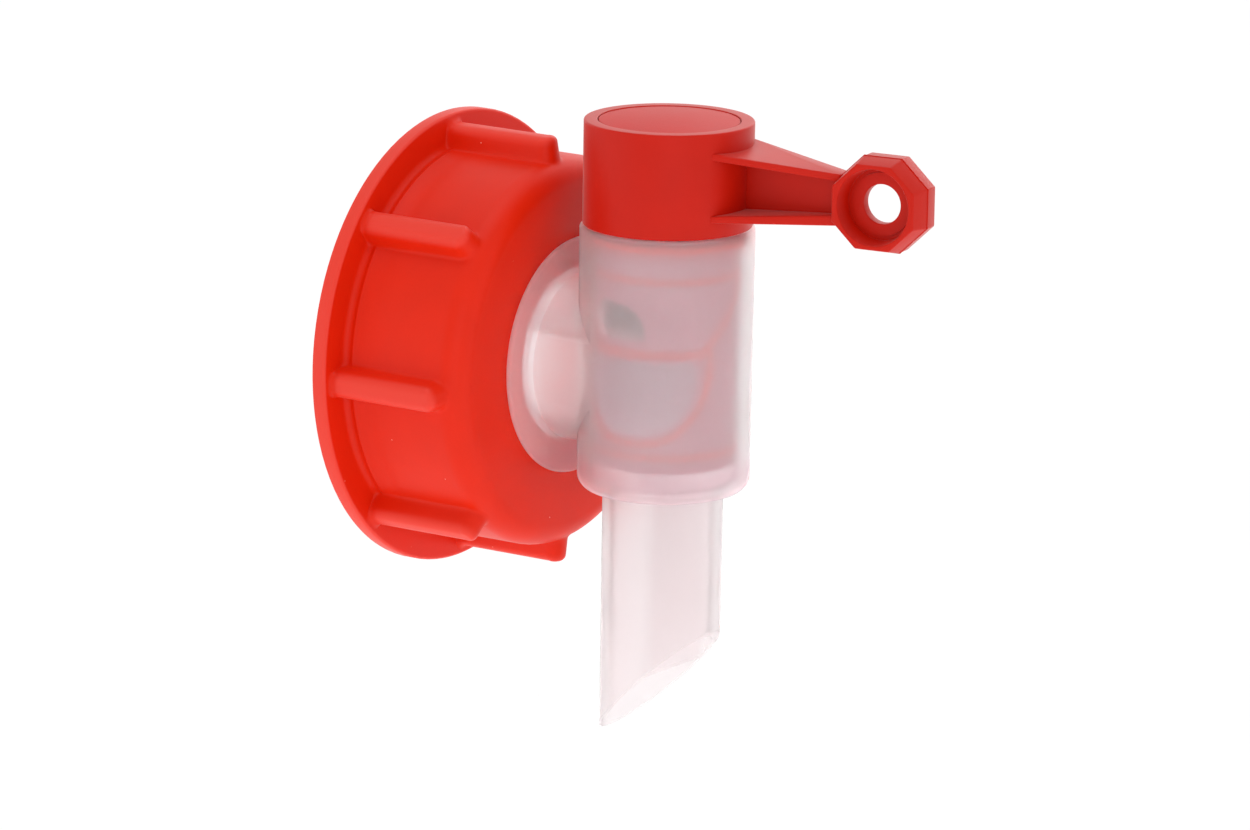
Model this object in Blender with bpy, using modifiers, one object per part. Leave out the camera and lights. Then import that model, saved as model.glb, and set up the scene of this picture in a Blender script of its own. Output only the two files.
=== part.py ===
"""Jerrycan tap: a screw cap for a 61 mm container neck that carries a quarter turn tap.

Metres, +Z up. The origin is the centre of the sealing plane, where the rim of the container's
neck meets the gasket. The cap's axis is Y, with the container on the +Y side. The barrel stands
upright in front of the cap, and the lever points to the front, which is the closed position.
"""
import math

import bmesh
import bpy
from mathutils import Matrix

COLLECTION = "jerrycan_tap"
CUTTERS = "jerrycan_tap_cutters"

# Running and seating gap between two pieces
CLEARANCE = 0.0003

# Screw cap: heights run along its axis
CAP_RADIUS = 0.0319
CAP_WALL = 0.0014
CAP_FACE = 0.0020
CAP_DEPTH = 0.0250
CAP_SHOULDER = 0.0040
THREAD_DEPTH = 0.0013
MOUTH_CHAMFER = 0.0008
FLANGE_OVERHANG = 0.00535
FLANGE_THICKNESS = 0.0026
FLANGE_EDGE = 0.0004
FOOT_BEAD = 0.0008

# Grip ribs
RIB_COUNT = 8
RIB_TURN = math.radians(3.5)
RIB_HEIGHT = 0.0038
RIB_FOOT_WIDTH = 0.0056
RIB_TOP_WIDTH = 0.0040
RIB_SETBACK = 0.0020
RIB_ROUND = 0.0012

# Sealing ring in the cap
GASKET_THICKNESS = 0.0020
GASKET_LIP_STEP = 0.0003

# Tap body: barrel
BARREL_RADIUS = 0.01392
BARREL_DRAFT = 0.00018
BARREL_WALL = 0.0016
BARREL_TOP = 0.0234
BARREL_BOTTOM = -0.01976
BARREL_FLOOR = 0.0016
BARREL_FOOT_ROUND = 0.0026
BARREL_LIP = 0.0004
GROOVE_DEPTH = 0.0006
GROOVE_HEIGHT = 0.0020
GROOVE_BELOW_TOP = 0.0008

# Tap body: neck, thrust disc and snap ring
NECK_RADIUS = 0.0137
NECK_WALL = 0.0017
NECK_LENGTH = 0.0168
NECK_END = 0.0040
DISC_OVERHANG = 0.00566
DISC_THICKNESS = 0.0010
DISC_DISH = 0.0005
SNAP_HEIGHT = 0.0014
SNAP_WIDTH = 0.0015
SNAP_EDGE = 0.0004
DUCT_WALL = 0.0012
DUCT_WALL_HEIGHT = 0.0059

# Tap body: spout
SPOUT_RADIUS = 0.00975
SPOUT_DRAFT = 0.00015
SPOUT_WALL = 0.0013
SPOUT_TIP = -0.06114
SPOUT_SHORT_SIDE = -0.04211
SPOUT_DIVIDER = 0.0012
SPOUT_DIVIDER_OFFSET = 0.0028

# Plug that turns in the barrel
PLUG_CLEARANCE = 0.00035
PLUG_WALL = 0.0015
PLUG_FOOT_SPACE = 0.00316
PLUG_CEILING_BELOW_SEAL = 0.0019
PLUG_WEB = 0.0016
PLUG_EDGE = 0.0004
SEAL_HEIGHT = 0.00035
SEAL_WIDTH = 0.0014
SEAL_BELOW_TOP = 0.0069
SEAL_ABOVE_FOOT = 0.0028
SEAL_RADIUS = 0.0008
SEAL_MARGIN = 0.0013
PLUG_SNAP_WIDTH = 0.0012

# Ports through the plug and the barrel's wall
LIQUID_PORT_HALF_WIDTH = 0.0096
LIQUID_PORT_HEIGHT = 0.0133
AIR_PORT_HALF_WIDTH = 0.0050
AIR_PORT_HEIGHT = 0.0042
PORT_FROM_WALL = 0.0015

# Turning stop: a lug in the barrel and a notch in the plug's foot
LEVER_SWING = math.radians(90.0)
STOP_WIDTH = math.radians(10.0)
STOP_AZIMUTH = math.radians(-45.0)
STOP_HEIGHT = 0.0014
STOP_FREE_ANGLE = math.radians(1.5)

# Lever's cap and its top disc
LEVER_CAP_SETBACK = 0.00039
LEVER_CAP_TAPER = 0.00005
LEVER_CAP_HEIGHT = 0.0167
LEVER_CAP_EDGE = 0.0005
LEVER_CAP_WALL = 0.0022
LEVER_CAP_LEDGE = 0.0008
TOP_DISC_THICKNESS = 0.0016
TOP_DISC_DOME = 0.0008
TOP_DISC_SINK = 0.0002
TOP_DISC_SKIRT = 0.0020
TOP_DISC_SKIRT_WALL = 0.0012

# Lever arm: sections at the cap and at the eye, with heights above the cap's underside
LEVER_TURN = math.radians(7.57)
ARM_ROOT_BITE = 0.0005
ARM_TIP_BITE = 0.00147
ARM_ROOT_HALF_WIDTH = 0.0078
ARM_TIP_HALF_WIDTH = 0.0018
ARM_ROOT_HIGH = 0.0139
ARM_TIP_HIGH = 0.0116
ARM_ROOT_LOW = 0.00265
ARM_TIP_LOW = 0.0033
ARM_ROOT_FLANGE = 0.0011
ARM_TIP_TOP_FLANGE = 0.0012
ARM_TIP_LOW_FLANGE = 0.00165
ARM_WEB = 0.0017
ARM_WEB_FRONT = 0.0003

# Octagonal eye: widths across the flats
EYE_DISTANCE = 0.03742
EYE_CENTRE_HIGH = 0.00715
EYE_THICKNESS = 0.0067
EYE_PARTING = 0.00287
EYE_WIDTH = 0.01578
EYE_FRONT_DRAFT = 0.00172
EYE_BACK_DRAFT = 0.00012
EYE_HEIGHT_RATIO = 0.96
EYE_LIP = 0.00055
EYE_FLOOR = 0.0020
EYE_BACK_RECESS = 0.00105
EYE_RECESS_DRAFT = 0.0004
EYE_HOLE_RADIUS = 0.0032

# Facets of the round forms
CAP_STEPS = 64
BARREL_STEPS = 48
DISC_STEPS = 48
EYE_SIDES = 8
ARC_STEPS = 5
NOSE_STEPS = 8
PORT_STEPS = 14
SHARP_ANGLE = math.radians(32.0)
MERGE = 0.00001
CUT_EXTRA = 0.0010

# Levels along the cap's axis, worked out from the sealing plane
CAP_INNER_FACE = -GASKET_THICKNESS - CLEARANCE
CAP_FRONT = CAP_INNER_FACE - CAP_FACE
CAP_RIM = CAP_FRONT + CAP_DEPTH
DISC_BACK = CAP_FRONT - CLEARANCE
DISC_FRONT = DISC_BACK - DISC_THICKNESS
BARREL_AXIS = DISC_FRONT - NECK_LENGTH

# Radii that follow from the fits
FLANGE_RADIUS = CAP_RADIUS + FLANGE_OVERHANG
RIB_REACH = CAP_RADIUS + RIB_HEIGHT
CAP_BORE = CAP_RADIUS - CAP_WALL
GASKET_RADIUS = CAP_BORE - THREAD_DEPTH - CLEARANCE
NECK_HOLE = NECK_RADIUS + CLEARANCE
NECK_BORE = NECK_RADIUS - NECK_WALL
SNAP_RADIUS = NECK_RADIUS + SNAP_HEIGHT
DISC_RADIUS = NECK_RADIUS + DISC_OVERHANG
BARREL_TOP_RADIUS = BARREL_RADIUS + BARREL_DRAFT
BARREL_BORE = BARREL_RADIUS - BARREL_WALL
SPOUT_BORE = SPOUT_RADIUS - SPOUT_WALL
SEAL_CREST = BARREL_BORE - PLUG_CLEARANCE
PLUG_RADIUS = SEAL_CREST - SEAL_HEIGHT
PLUG_BORE = PLUG_RADIUS - PLUG_WALL
LEVER_CAP_RADIUS = BARREL_TOP_RADIUS - LEVER_CAP_SETBACK
LEVER_CAP_BORE = LEVER_CAP_RADIUS - LEVER_CAP_WALL
LEVER_CAP_RECESS = LEVER_CAP_BORE - LEVER_CAP_LEDGE
EYE_RECESS_RADIUS = (EYE_WIDTH - EYE_FRONT_DRAFT) / 2 * EYE_HEIGHT_RATIO - EYE_LIP

# Heights that follow from the barrel's floor and top
BARREL_FLOOR_TOP = BARREL_BOTTOM + BARREL_FLOOR
PLUG_BOTTOM = BARREL_FLOOR_TOP + PLUG_FOOT_SPACE
SEAL_BOTTOM = PLUG_BOTTOM + SEAL_ABOVE_FOOT
SEAL_TOP = BARREL_TOP - SEAL_BELOW_TOP
PLUG_CEILING = SEAL_TOP - PLUG_CEILING_BELOW_SEAL
GROOVE_TOP = BARREL_TOP - GROOVE_BELOW_TOP
LEVER_CAP_UNDERSIDE = BARREL_TOP + CLEARANCE
LEVER_CAP_TOP = LEVER_CAP_UNDERSIDE + LEVER_CAP_HEIGHT

# Arm's ends, counted from the barrel's axis
ARM_ROOT = LEVER_CAP_RECESS + ARM_ROOT_BITE
ARM_TIP = EYE_DISTANCE - EYE_WIDTH / 2 + ARM_TIP_BITE

# Ports as half width, flat side and crown
LIQUID_PORT_TOP = DUCT_WALL_HEIGHT - PORT_FROM_WALL
LIQUID_PORT = (LIQUID_PORT_HALF_WIDTH, LIQUID_PORT_TOP, LIQUID_PORT_TOP - LIQUID_PORT_HEIGHT)
AIR_PORT_FOOT = DUCT_WALL_HEIGHT + PORT_FROM_WALL
AIR_PORT = (AIR_PORT_HALF_WIDTH, AIR_PORT_FOOT, AIR_PORT_FOOT + AIR_PORT_HEIGHT)


def arc(centre_r, centre_h, radius, start, end, steps=ARC_STEPS):
    """Points of a round stretch of a profile, from one angle to another in degrees."""
    points = []
    for i in range(steps + 1):
        angle = math.radians(start + (end - start) * i / steps)
        points.append((centre_r + radius * math.cos(angle), centre_h + radius * math.sin(angle)))
    return points


def clear_scene():
    """Start with no objects, and make the collections for the parts and their cutters."""
    for obj in list(bpy.data.objects):
        bpy.data.objects.remove(obj, do_unlink=True)
    for name in (COLLECTION, CUTTERS):
        bpy.context.scene.collection.children.link(bpy.data.collections.new(name))


def add_object(name, mesh, collection=CUTTERS):
    """Put a mesh in the scene. Anything that isn't a finished piece is a hidden wire tool."""
    obj = bpy.data.objects.new(name, mesh)
    bpy.data.collections[collection].objects.link(obj)
    if collection == CUTTERS:
        obj.hide_render = True
        obj.display_type = "WIRE"
    return obj


def mesh_from_bmesh(name, bm):
    mesh = bpy.data.meshes.new(name)
    bm.to_mesh(mesh)
    bm.free()
    return mesh


def turned(name, profile, steps, closed=False, collection=CUTTERS):
    """Turn a profile of (radius, height) points round the object's Z axis."""
    count = len(profile)
    edges = [(i, i + 1) for i in range(count - 1)]
    if closed:
        edges.append((count - 1, 0))
    mesh = bpy.data.meshes.new(name)
    mesh.from_pydata([(radius, 0.0, height) for radius, height in profile], edges, [])
    obj = add_object(name, mesh, collection)
    screw = obj.modifiers.new("Turn", "SCREW")
    screw.axis = "Z"
    screw.angle = 2 * math.pi
    screw.steps = steps
    screw.render_steps = steps
    screw.use_merge_vertices = True
    screw.merge_threshold = MERGE
    return obj


def slab(name, outline, height):
    """Extrude a flat outline in XY from Z = 0 up to a height, as a closed mesh."""
    curve = bpy.data.curves.new(name, "CURVE")
    curve.dimensions = "2D"
    curve.fill_mode = "BOTH"
    curve.extrude = height / 2
    spline = curve.splines.new("POLY")
    spline.points.add(len(outline) - 1)
    for point, (x, y) in zip(spline.points, outline):
        point.co = (x, y, 0.0, 1.0)
    spline.use_cyclic_u = True
    source = bpy.data.objects.new(name, curve)
    bpy.data.collections[CUTTERS].objects.link(source)
    bm = bmesh.new()
    bm.from_mesh(evaluated_mesh(source))
    bpy.data.objects.remove(source, do_unlink=True)
    bmesh.ops.remove_doubles(bm, verts=bm.verts, dist=MERGE)
    bmesh.ops.translate(bm, verts=bm.verts, vec=(0.0, 0.0, height / 2))
    bmesh.ops.recalc_face_normals(bm, faces=bm.faces)
    return add_object(name, mesh_from_bmesh(name, bm))


def tube(name, points, radius, cyclic):
    """A round bead along a path of points, as a closed mesh."""
    curve = bpy.data.curves.new(name, "CURVE")
    curve.dimensions = "3D"
    curve.bevel_depth = radius
    curve.bevel_resolution = 1
    curve.use_fill_caps = True
    spline = curve.splines.new("POLY")
    spline.points.add(len(points) - 1)
    for point, place in zip(spline.points, points):
        point.co = (*place, 1.0)
    spline.use_cyclic_u = cyclic
    source = bpy.data.objects.new(name, curve)
    bpy.data.collections[CUTTERS].objects.link(source)
    bm = bmesh.new()
    bm.from_mesh(evaluated_mesh(source))
    bpy.data.objects.remove(source, do_unlink=True)
    bmesh.ops.remove_doubles(bm, verts=bm.verts, dist=MERGE)
    bmesh.ops.recalc_face_normals(bm, faces=bm.faces)
    return add_object(name, mesh_from_bmesh(name, bm))


def box(name, low, high):
    """A box between two corners."""
    bm = bmesh.new()
    bmesh.ops.create_cube(bm, size=1.0)
    for vert in bm.verts:
        for axis in range(3):
            share = vert.co[axis] + 0.5
            vert.co[axis] = low[axis] + share * (high[axis] - low[axis])
    return add_object(name, mesh_from_bmesh(name, bm))


def tapered_bar(name, root, tip):
    """A four sided bar that points along -Y.

    Each end is (distance, low x, high x, low z, high z).
    """
    bm = bmesh.new()
    bmesh.ops.create_cube(bm, size=1.0)
    for vert in bm.verts:
        end = tip if vert.co.y < 0 else root
        distance, low_x, high_x, low_z, high_z = end
        x = high_x if vert.co.x > 0 else low_x
        z = high_z if vert.co.z > 0 else low_z
        vert.co = (x, -distance, z)
    return add_object(name, mesh_from_bmesh(name, bm))


def boolean(obj, tool, operation):
    """Cut, join or keep what two solids share."""
    modifier = obj.modifiers.new(tool.name, "BOOLEAN")
    modifier.operation = operation
    modifier.object = tool
    modifier.solver = "EXACT"


def cut(obj, *tools):
    for tool in tools:
        boolean(obj, tool, "DIFFERENCE")


def join(obj, *tools):
    for tool in tools:
        boolean(obj, tool, "UNION")


def evaluated_mesh(obj):
    graph = bpy.context.evaluated_depsgraph_get()
    return bpy.data.meshes.new_from_object(obj.evaluated_get(graph))


def place(obj, location, rotation=(0.0, 0.0, 0.0)):
    obj.location = location
    obj.rotation_euler = rotation
    return obj


def lay_along_y(obj):
    """Turn a piece made round Z so that its axis is the cap's axis, with its top at +Y."""
    obj.rotation_euler = (-math.pi / 2, 0.0, 0.0)
    return obj


def plastic(name, colour, roughness, transmission=0.0):
    """One Principled material."""
    material = bpy.data.materials.new(name)
    material.use_nodes = True
    material.diffuse_color = (*colour, 1.0)
    shader = material.node_tree.nodes["Principled BSDF"]
    shader.inputs["Base Color"].default_value = (*colour, 1.0)
    shader.inputs["Roughness"].default_value = roughness
    shader.inputs["Metallic"].default_value = 0.0
    shader.inputs["Transmission Weight"].default_value = transmission
    return material


def cap_red():
    return plastic("cap_red", (0.74, 0.035, 0.022), 0.42)


def lever_red():
    return plastic("lever_red", (0.60, 0.030, 0.022), 0.40)


def natural_plastic():
    return plastic("natural_plastic", (0.80, 0.72, 0.72), 0.35, 0.35)


def disc_red():
    return plastic("disc_red", (0.64, 0.045, 0.035), 0.40)


def gasket_foam():
    return plastic("gasket_foam", (0.82, 0.82, 0.80), 0.80)


def finish(obj, material):
    """Settle a piece's modifiers into its mesh, shade it and give it its material."""
    bpy.context.view_layer.update()
    mesh = evaluated_mesh(obj)
    mesh.name = obj.name
    obj.modifiers.clear()
    obj.data = mesh
    mesh.shade_smooth()
    mesh.set_sharp_from_angle(angle=SHARP_ANGLE)
    mesh.materials.clear()
    mesh.materials.append(material)
    return obj


def cap_outside():
    """The cap's outer form: flange, foot bead, wall and rounded shoulder down to the face."""
    flange_front = CAP_RIM - FLANGE_THICKNESS
    shoulder_centre = (CAP_RADIUS - CAP_SHOULDER, CAP_FRONT + CAP_SHOULDER)
    profile = [(0.0, CAP_RIM)]
    profile += arc(FLANGE_RADIUS - FLANGE_EDGE, CAP_RIM - FLANGE_EDGE, FLANGE_EDGE, 90, 0, 2)
    profile += arc(FLANGE_RADIUS - FLANGE_EDGE, flange_front + FLANGE_EDGE, FLANGE_EDGE, 0, -90, 2)
    profile += arc(CAP_RADIUS, flange_front, FOOT_BEAD, 0, -90, 3)
    profile += arc(*shoulder_centre, CAP_SHOULDER, 0, -90, 7)
    profile.append((0.0, CAP_FRONT))
    return lay_along_y(turned("screw_cap", profile, CAP_STEPS, collection=COLLECTION))


def cap_inside():
    """The space inside the cap, open at the rim and through the hole in the face."""
    inner_round = max(CAP_SHOULDER - CAP_WALL, CAP_WALL)
    mouth = CAP_RIM + CUT_EXTRA
    profile = [
        (0.0, mouth),
        (CAP_BORE + MOUTH_CHAMFER + CUT_EXTRA, mouth),
        (CAP_BORE, CAP_RIM - MOUTH_CHAMFER),
    ]
    profile += arc(CAP_BORE - inner_round, CAP_INNER_FACE + inner_round, inner_round, 0, -90)
    profile += [
        (NECK_HOLE, CAP_INNER_FACE),
        (NECK_HOLE, CAP_FRONT - CUT_EXTRA),
        (0.0, CAP_FRONT - CUT_EXTRA),
    ]
    return lay_along_y(turned("cap_space", profile, CAP_STEPS))


def rib(index):
    """One grip rib: a bar with a round nose that narrows towards its rounded crest."""
    foot_radius = CAP_BORE - CAP_SHOULDER / 3
    half = RIB_FOOT_WIDTH / 2
    nose_centre = CAP_FRONT + RIB_SETBACK + half
    tail = CAP_RIM - FLANGE_THICKNESS / 2
    outline = [(half, tail)]
    for i in range(NOSE_STEPS + 1):
        angle = -math.pi * i / NOSE_STEPS
        outline.append((half * math.cos(angle), nose_centre + half * math.sin(angle)))
    outline.append((-half, tail))
    obj = slab(f"rib_{index}", outline, RIB_REACH - foot_radius)
    narrowing = RIB_TOP_WIDTH / RIB_FOOT_WIDTH
    bm = bmesh.new()
    bm.from_mesh(obj.data)
    crest = [vert for vert in bm.verts if vert.co.z > MERGE]
    for vert in crest:
        vert.co.x *= narrowing
        if vert.co.y < nose_centre:
            vert.co.y = nose_centre + (vert.co.y - nose_centre) * narrowing
    crest_set = set(crest)
    rim = [edge for edge in bm.edges if edge.is_manifold and set(edge.verts) <= crest_set
           and edge.calc_face_angle() > SHARP_ANGLE]
    bmesh.ops.bevel(bm, geom=rim, offset=RIB_ROUND, segments=3, profile=0.5, affect="EDGES")
    bmesh.ops.triangulate(bm, faces=bm.faces)
    bmesh.ops.translate(bm, verts=bm.verts, vec=(0.0, 0.0, foot_radius))
    bm.to_mesh(obj.data)
    bm.free()
    turn = RIB_TURN + 2 * math.pi * index / RIB_COUNT
    return place(obj, (0.0, 0.0, 0.0), (0.0, -turn, 0.0))


def screw_cap():
    cap = cap_outside()
    join(cap, *[rib(index) for index in range(RIB_COUNT)])
    cut(cap, cap_inside())
    return finish(cap, cap_red())


def neck_gasket():
    """Flat ring with a thinner lip under the snap ring. It seals on the container's rim."""
    lip_radius = SNAP_RADIUS + CLEARANCE
    profile = [
        (NECK_HOLE, -GASKET_LIP_STEP),
        (lip_radius, -GASKET_LIP_STEP),
        (lip_radius, 0.0),
        (GASKET_RADIUS, 0.0),
        (GASKET_RADIUS, -GASKET_THICKNESS),
        (NECK_HOLE, -GASKET_THICKNESS),
    ]
    gasket = turned("neck_gasket", profile, DISC_STEPS, closed=True, collection=COLLECTION)
    return finish(lay_along_y(gasket), gasket_foam())


def barrel_outside():
    """Barrel and spout as one upright turned solid."""
    lip = (BARREL_TOP_RADIUS - BARREL_LIP, BARREL_TOP - BARREL_LIP)
    foot = (BARREL_RADIUS - BARREL_FOOT_ROUND, BARREL_BOTTOM + BARREL_FOOT_ROUND)
    spout_end = SPOUT_TIP - CUT_EXTRA
    profile = [(0.0, BARREL_TOP)]
    profile += arc(*lip, BARREL_LIP, 90, 0, 2)
    profile += arc(*foot, BARREL_FOOT_ROUND, 0, -90)
    profile += [
        (SPOUT_RADIUS, BARREL_BOTTOM),
        (SPOUT_RADIUS - SPOUT_DRAFT, spout_end),
        (0.0, spout_end),
    ]
    body = turned("tap_body", profile, BARREL_STEPS, collection=COLLECTION)
    return place(body, (0.0, BARREL_AXIS, 0.0))


def neck_outside():
    """Neck, dished thrust disc in front of the cap and snap ring inside it."""
    rim = DISC_THICKNESS / 2
    profile = [
        (0.0, NECK_END),
        (NECK_RADIUS - CLEARANCE, NECK_END),
        (SNAP_RADIUS, CLEARANCE + SNAP_WIDTH),
        (SNAP_RADIUS, CLEARANCE + SNAP_EDGE),
        (SNAP_RADIUS - SNAP_EDGE, CLEARANCE),
        (NECK_RADIUS, CLEARANCE),
        (NECK_RADIUS, DISC_BACK - DISC_DISH),
    ]
    profile += arc(DISC_RADIUS - rim, DISC_BACK - rim, rim, 90, -90, 4)
    profile += [
        (NECK_RADIUS + rim, DISC_FRONT - DISC_DISH),
        (NECK_RADIUS, DISC_FRONT - DISC_DISH - rim),
        (NECK_RADIUS, BARREL_AXIS),
        (0.0, BARREL_AXIS),
    ]
    return lay_along_y(turned("neck", profile, DISC_STEPS))


def barrel_space():
    """The barrel's bore with the groove for the plug's snap bead."""
    lead = GROOVE_BELOW_TOP / 2
    groove_slope = GROOVE_DEPTH / 2
    bottom_round = BARREL_WALL
    profile = [
        (0.0, BARREL_TOP + CUT_EXTRA),
        (BARREL_BORE + lead + CUT_EXTRA, BARREL_TOP + CUT_EXTRA),
        (BARREL_BORE, BARREL_TOP - lead),
        (BARREL_BORE, GROOVE_TOP),
        (BARREL_BORE + GROOVE_DEPTH, GROOVE_TOP - groove_slope),
        (BARREL_BORE + GROOVE_DEPTH, GROOVE_TOP - GROOVE_HEIGHT + groove_slope),
        (BARREL_BORE, GROOVE_TOP - GROOVE_HEIGHT),
    ]
    profile += arc(BARREL_BORE - bottom_round, BARREL_FLOOR_TOP + bottom_round,
                   bottom_round, 0, -90, 3)
    profile.append((0.0, BARREL_FLOOR_TOP))
    return place(turned("barrel_space", profile, BARREL_STEPS), (0.0, BARREL_AXIS, 0.0))


def chord_half(radius, offset):
    """Half the length of a circle's chord at a distance from its centre."""
    return math.sqrt(radius * radius - offset * offset)


def part_round(radius, chord, upper):
    """The part of a circle above or below a level chord."""
    start = math.asin(chord / radius)
    end = math.pi - start
    if not upper:
        start, end = end, 2 * math.pi + start
    points = []
    for i in range(PORT_STEPS + 1):
        angle = start + (end - start) * i / PORT_STEPS
        points.append((radius * math.cos(angle), radius * math.sin(angle)))
    return points


def spout_spaces():
    """Liquid side and air side of the spout, from the barrel's floor to below the tip."""
    low = SPOUT_TIP - 2 * CUT_EXTRA
    half_wall = SPOUT_DIVIDER / 2
    spaces = []
    for name, chord, upper in (("spout_liquid", -SPOUT_DIVIDER_OFFSET + half_wall, True),
                               ("spout_air", -SPOUT_DIVIDER_OFFSET - half_wall, False)):
        outline = part_round(SPOUT_BORE, chord, upper)
        space = slab(name, outline, BARREL_FLOOR_TOP + CUT_EXTRA - low)
        spaces.append(place(space, (0.0, BARREL_AXIS, low)))
    return spaces


def floor_divider():
    """The dividing wall's top stretch, across the barrel between its floor and the plug."""
    far = BARREL_AXIS - SPOUT_DIVIDER_OFFSET - SPOUT_DIVIDER / 2
    half = chord_half(BARREL_BORE, SPOUT_DIVIDER_OFFSET) + BARREL_WALL / 2
    return box("floor_divider", (-half, far, BARREL_FLOOR_TOP - BARREL_FLOOR / 2),
               (half, far + SPOUT_DIVIDER, PLUG_BOTTOM - CLEARANCE))


def spout_slant():
    """Everything below the slanted mouth, which faces the front."""
    reach = SPOUT_RADIUS + CUT_EXTRA
    slope = (SPOUT_SHORT_SIDE - SPOUT_TIP) / (2 * SPOUT_RADIUS)
    middle = (SPOUT_SHORT_SIDE + SPOUT_TIP) / 2
    rise = slope * reach
    floor = SPOUT_TIP - rise
    outline = [(-reach, middle + rise), (-reach, floor), (reach, floor), (reach, middle - rise)]
    obj = slab("spout_slant", outline, 2 * reach)
    return place(obj, (-reach, BARREL_AXIS, 0.0), (math.pi / 2, 0.0, math.pi / 2))


def neck_ducts():
    """Air duct over liquid duct, through the whole length of the neck."""
    length = NECK_END - BARREL_AXIS + 2 * CUT_EXTRA
    half_wall = DUCT_WALL / 2
    ducts = []
    for name, chord, upper in (("liquid_duct", DUCT_WALL_HEIGHT - half_wall, False),
                               ("air_duct", DUCT_WALL_HEIGHT + half_wall, True)):
        duct = slab(name, part_round(NECK_BORE, chord, upper), length)
        ducts.append(place(duct, (0.0, NECK_END + CUT_EXTRA, 0.0), (math.pi / 2, 0.0, 0.0)))
    return ducts


def port_outline(port, margin=0.0):
    """A port with one flat side and a round crown, seen along its own axis."""
    half_width, flat, crown = port
    side = 1 if crown > flat else -1
    base = flat - side * margin
    points = []
    for i in range(PORT_STEPS + 1):
        angle = math.pi * i / PORT_STEPS
        x = (half_width + margin) * math.cos(angle)
        points.append((x, base + (crown + side * margin - base) * math.sin(angle)))
    return points


def port_cutters(prefix, turn):
    """Both ports, from the barrel's axis outward in the direction that the turn gives."""
    reach = BARREL_TOP_RADIUS + CUT_EXTRA
    cutters = []
    for name, port in (("liquid_port", LIQUID_PORT), ("air_port", AIR_PORT)):
        cutter = slab(f"{prefix}_{name}", port_outline(port), reach)
        start = (-math.sin(turn) * reach, BARREL_AXIS + math.cos(turn) * reach, 0.0)
        cutters.append(place(cutter, start, (math.pi / 2, 0.0, turn)))
    return cutters


def sector(name, inner, outer, start, end, low, high):
    """A block that follows the barrel's round between two azimuths, counted from +X."""
    steps = max(2, round((end - start) / math.radians(8.0)))
    angles = [start + (end - start) * i / steps for i in range(steps + 1)]
    outline = [(outer * math.cos(a), outer * math.sin(a)) for a in angles]
    outline += [(inner * math.cos(a), inner * math.sin(a)) for a in reversed(angles)]
    return place(slab(name, outline, high - low), (0.0, BARREL_AXIS, low))


def stop_lug():
    """The lug on the barrel's floor that ends the lever's turn both ways."""
    half = STOP_WIDTH / 2
    return sector("stop_lug", PLUG_BORE + CLEARANCE, BARREL_BORE + BARREL_WALL / 2,
                  STOP_AZIMUTH - half, STOP_AZIMUTH + half,
                  BARREL_FLOOR_TOP - BARREL_FLOOR / 2, PLUG_BOTTOM + STOP_HEIGHT)


def stop_notch():
    """The gap in the plug's foot that the lug runs in. The plug turns clockwise to open."""
    half = STOP_WIDTH / 2 + STOP_FREE_ANGLE
    return sector("stop_notch", PLUG_BORE - CUT_EXTRA, PLUG_RADIUS + CUT_EXTRA,
                  STOP_AZIMUTH - half, STOP_AZIMUTH + LEVER_SWING + half,
                  PLUG_BOTTOM - CUT_EXTRA, PLUG_BOTTOM + STOP_HEIGHT + CLEARANCE)


def tap_body():
    """The barrel closes the neck's ducts, and the ports then open them into its bore."""
    neck = neck_outside()
    cut(neck, *neck_ducts())
    body = barrel_outside()
    join(body, neck)
    cut(body, barrel_space(), *port_cutters("body", 0.0), *spout_spaces())
    join(body, floor_divider(), stop_lug())
    cut(body, spout_slant())
    return finish(body, natural_plastic())


def plug_and_cap():
    """Hollow plug, open below, and the cap over it, open above for the top disc."""
    edge = LEVER_CAP_EDGE
    foot_radius = LEVER_CAP_RADIUS - LEVER_CAP_TAPER
    bead_top = GROOVE_TOP - (GROOVE_HEIGHT - PLUG_SNAP_WIDTH) / 2
    bead_radius = BARREL_BORE + GROOVE_DEPTH - CLEARANCE
    slope = bead_radius - PLUG_RADIUS
    disc_seat = LEVER_CAP_TOP - TOP_DISC_SINK - TOP_DISC_THICKNESS - CLEARANCE
    recess_foot = PLUG_CEILING + PLUG_WEB
    profile = [
        (0.0, recess_foot),
        (PLUG_BORE, recess_foot),
        (PLUG_BORE, LEVER_CAP_UNDERSIDE + PLUG_WEB),
        (LEVER_CAP_RECESS, LEVER_CAP_UNDERSIDE + PLUG_WEB + LEVER_CAP_RECESS - PLUG_BORE),
        (LEVER_CAP_RECESS, disc_seat),
        (LEVER_CAP_BORE, disc_seat),
        (LEVER_CAP_BORE, LEVER_CAP_TOP),
    ]
    profile += arc(LEVER_CAP_RADIUS - edge, LEVER_CAP_TOP - edge, edge, 90, 0, 3)
    profile += [
        (foot_radius, LEVER_CAP_UNDERSIDE),
        (PLUG_RADIUS, LEVER_CAP_UNDERSIDE),
        (PLUG_RADIUS, bead_top + CLEARANCE / 2),
        (bead_radius, bead_top - slope / 4),
        (bead_radius, bead_top - PLUG_SNAP_WIDTH + slope / 4),
        (PLUG_RADIUS, bead_top - PLUG_SNAP_WIDTH - slope / 3),
    ]
    for level in (SEAL_TOP, SEAL_BOTTOM):
        profile += seal_ring(level)
    profile += [
        (PLUG_RADIUS, PLUG_BOTTOM + PLUG_EDGE),
        (PLUG_RADIUS - PLUG_EDGE, PLUG_BOTTOM),
        (PLUG_BORE, PLUG_BOTTOM),
        (PLUG_BORE, PLUG_CEILING),
        (0.0, PLUG_CEILING),
    ]
    plug = turned("lever_plug", profile, BARREL_STEPS, collection=COLLECTION)
    return place(plug, (0.0, BARREL_AXIS, 0.0))


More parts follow.
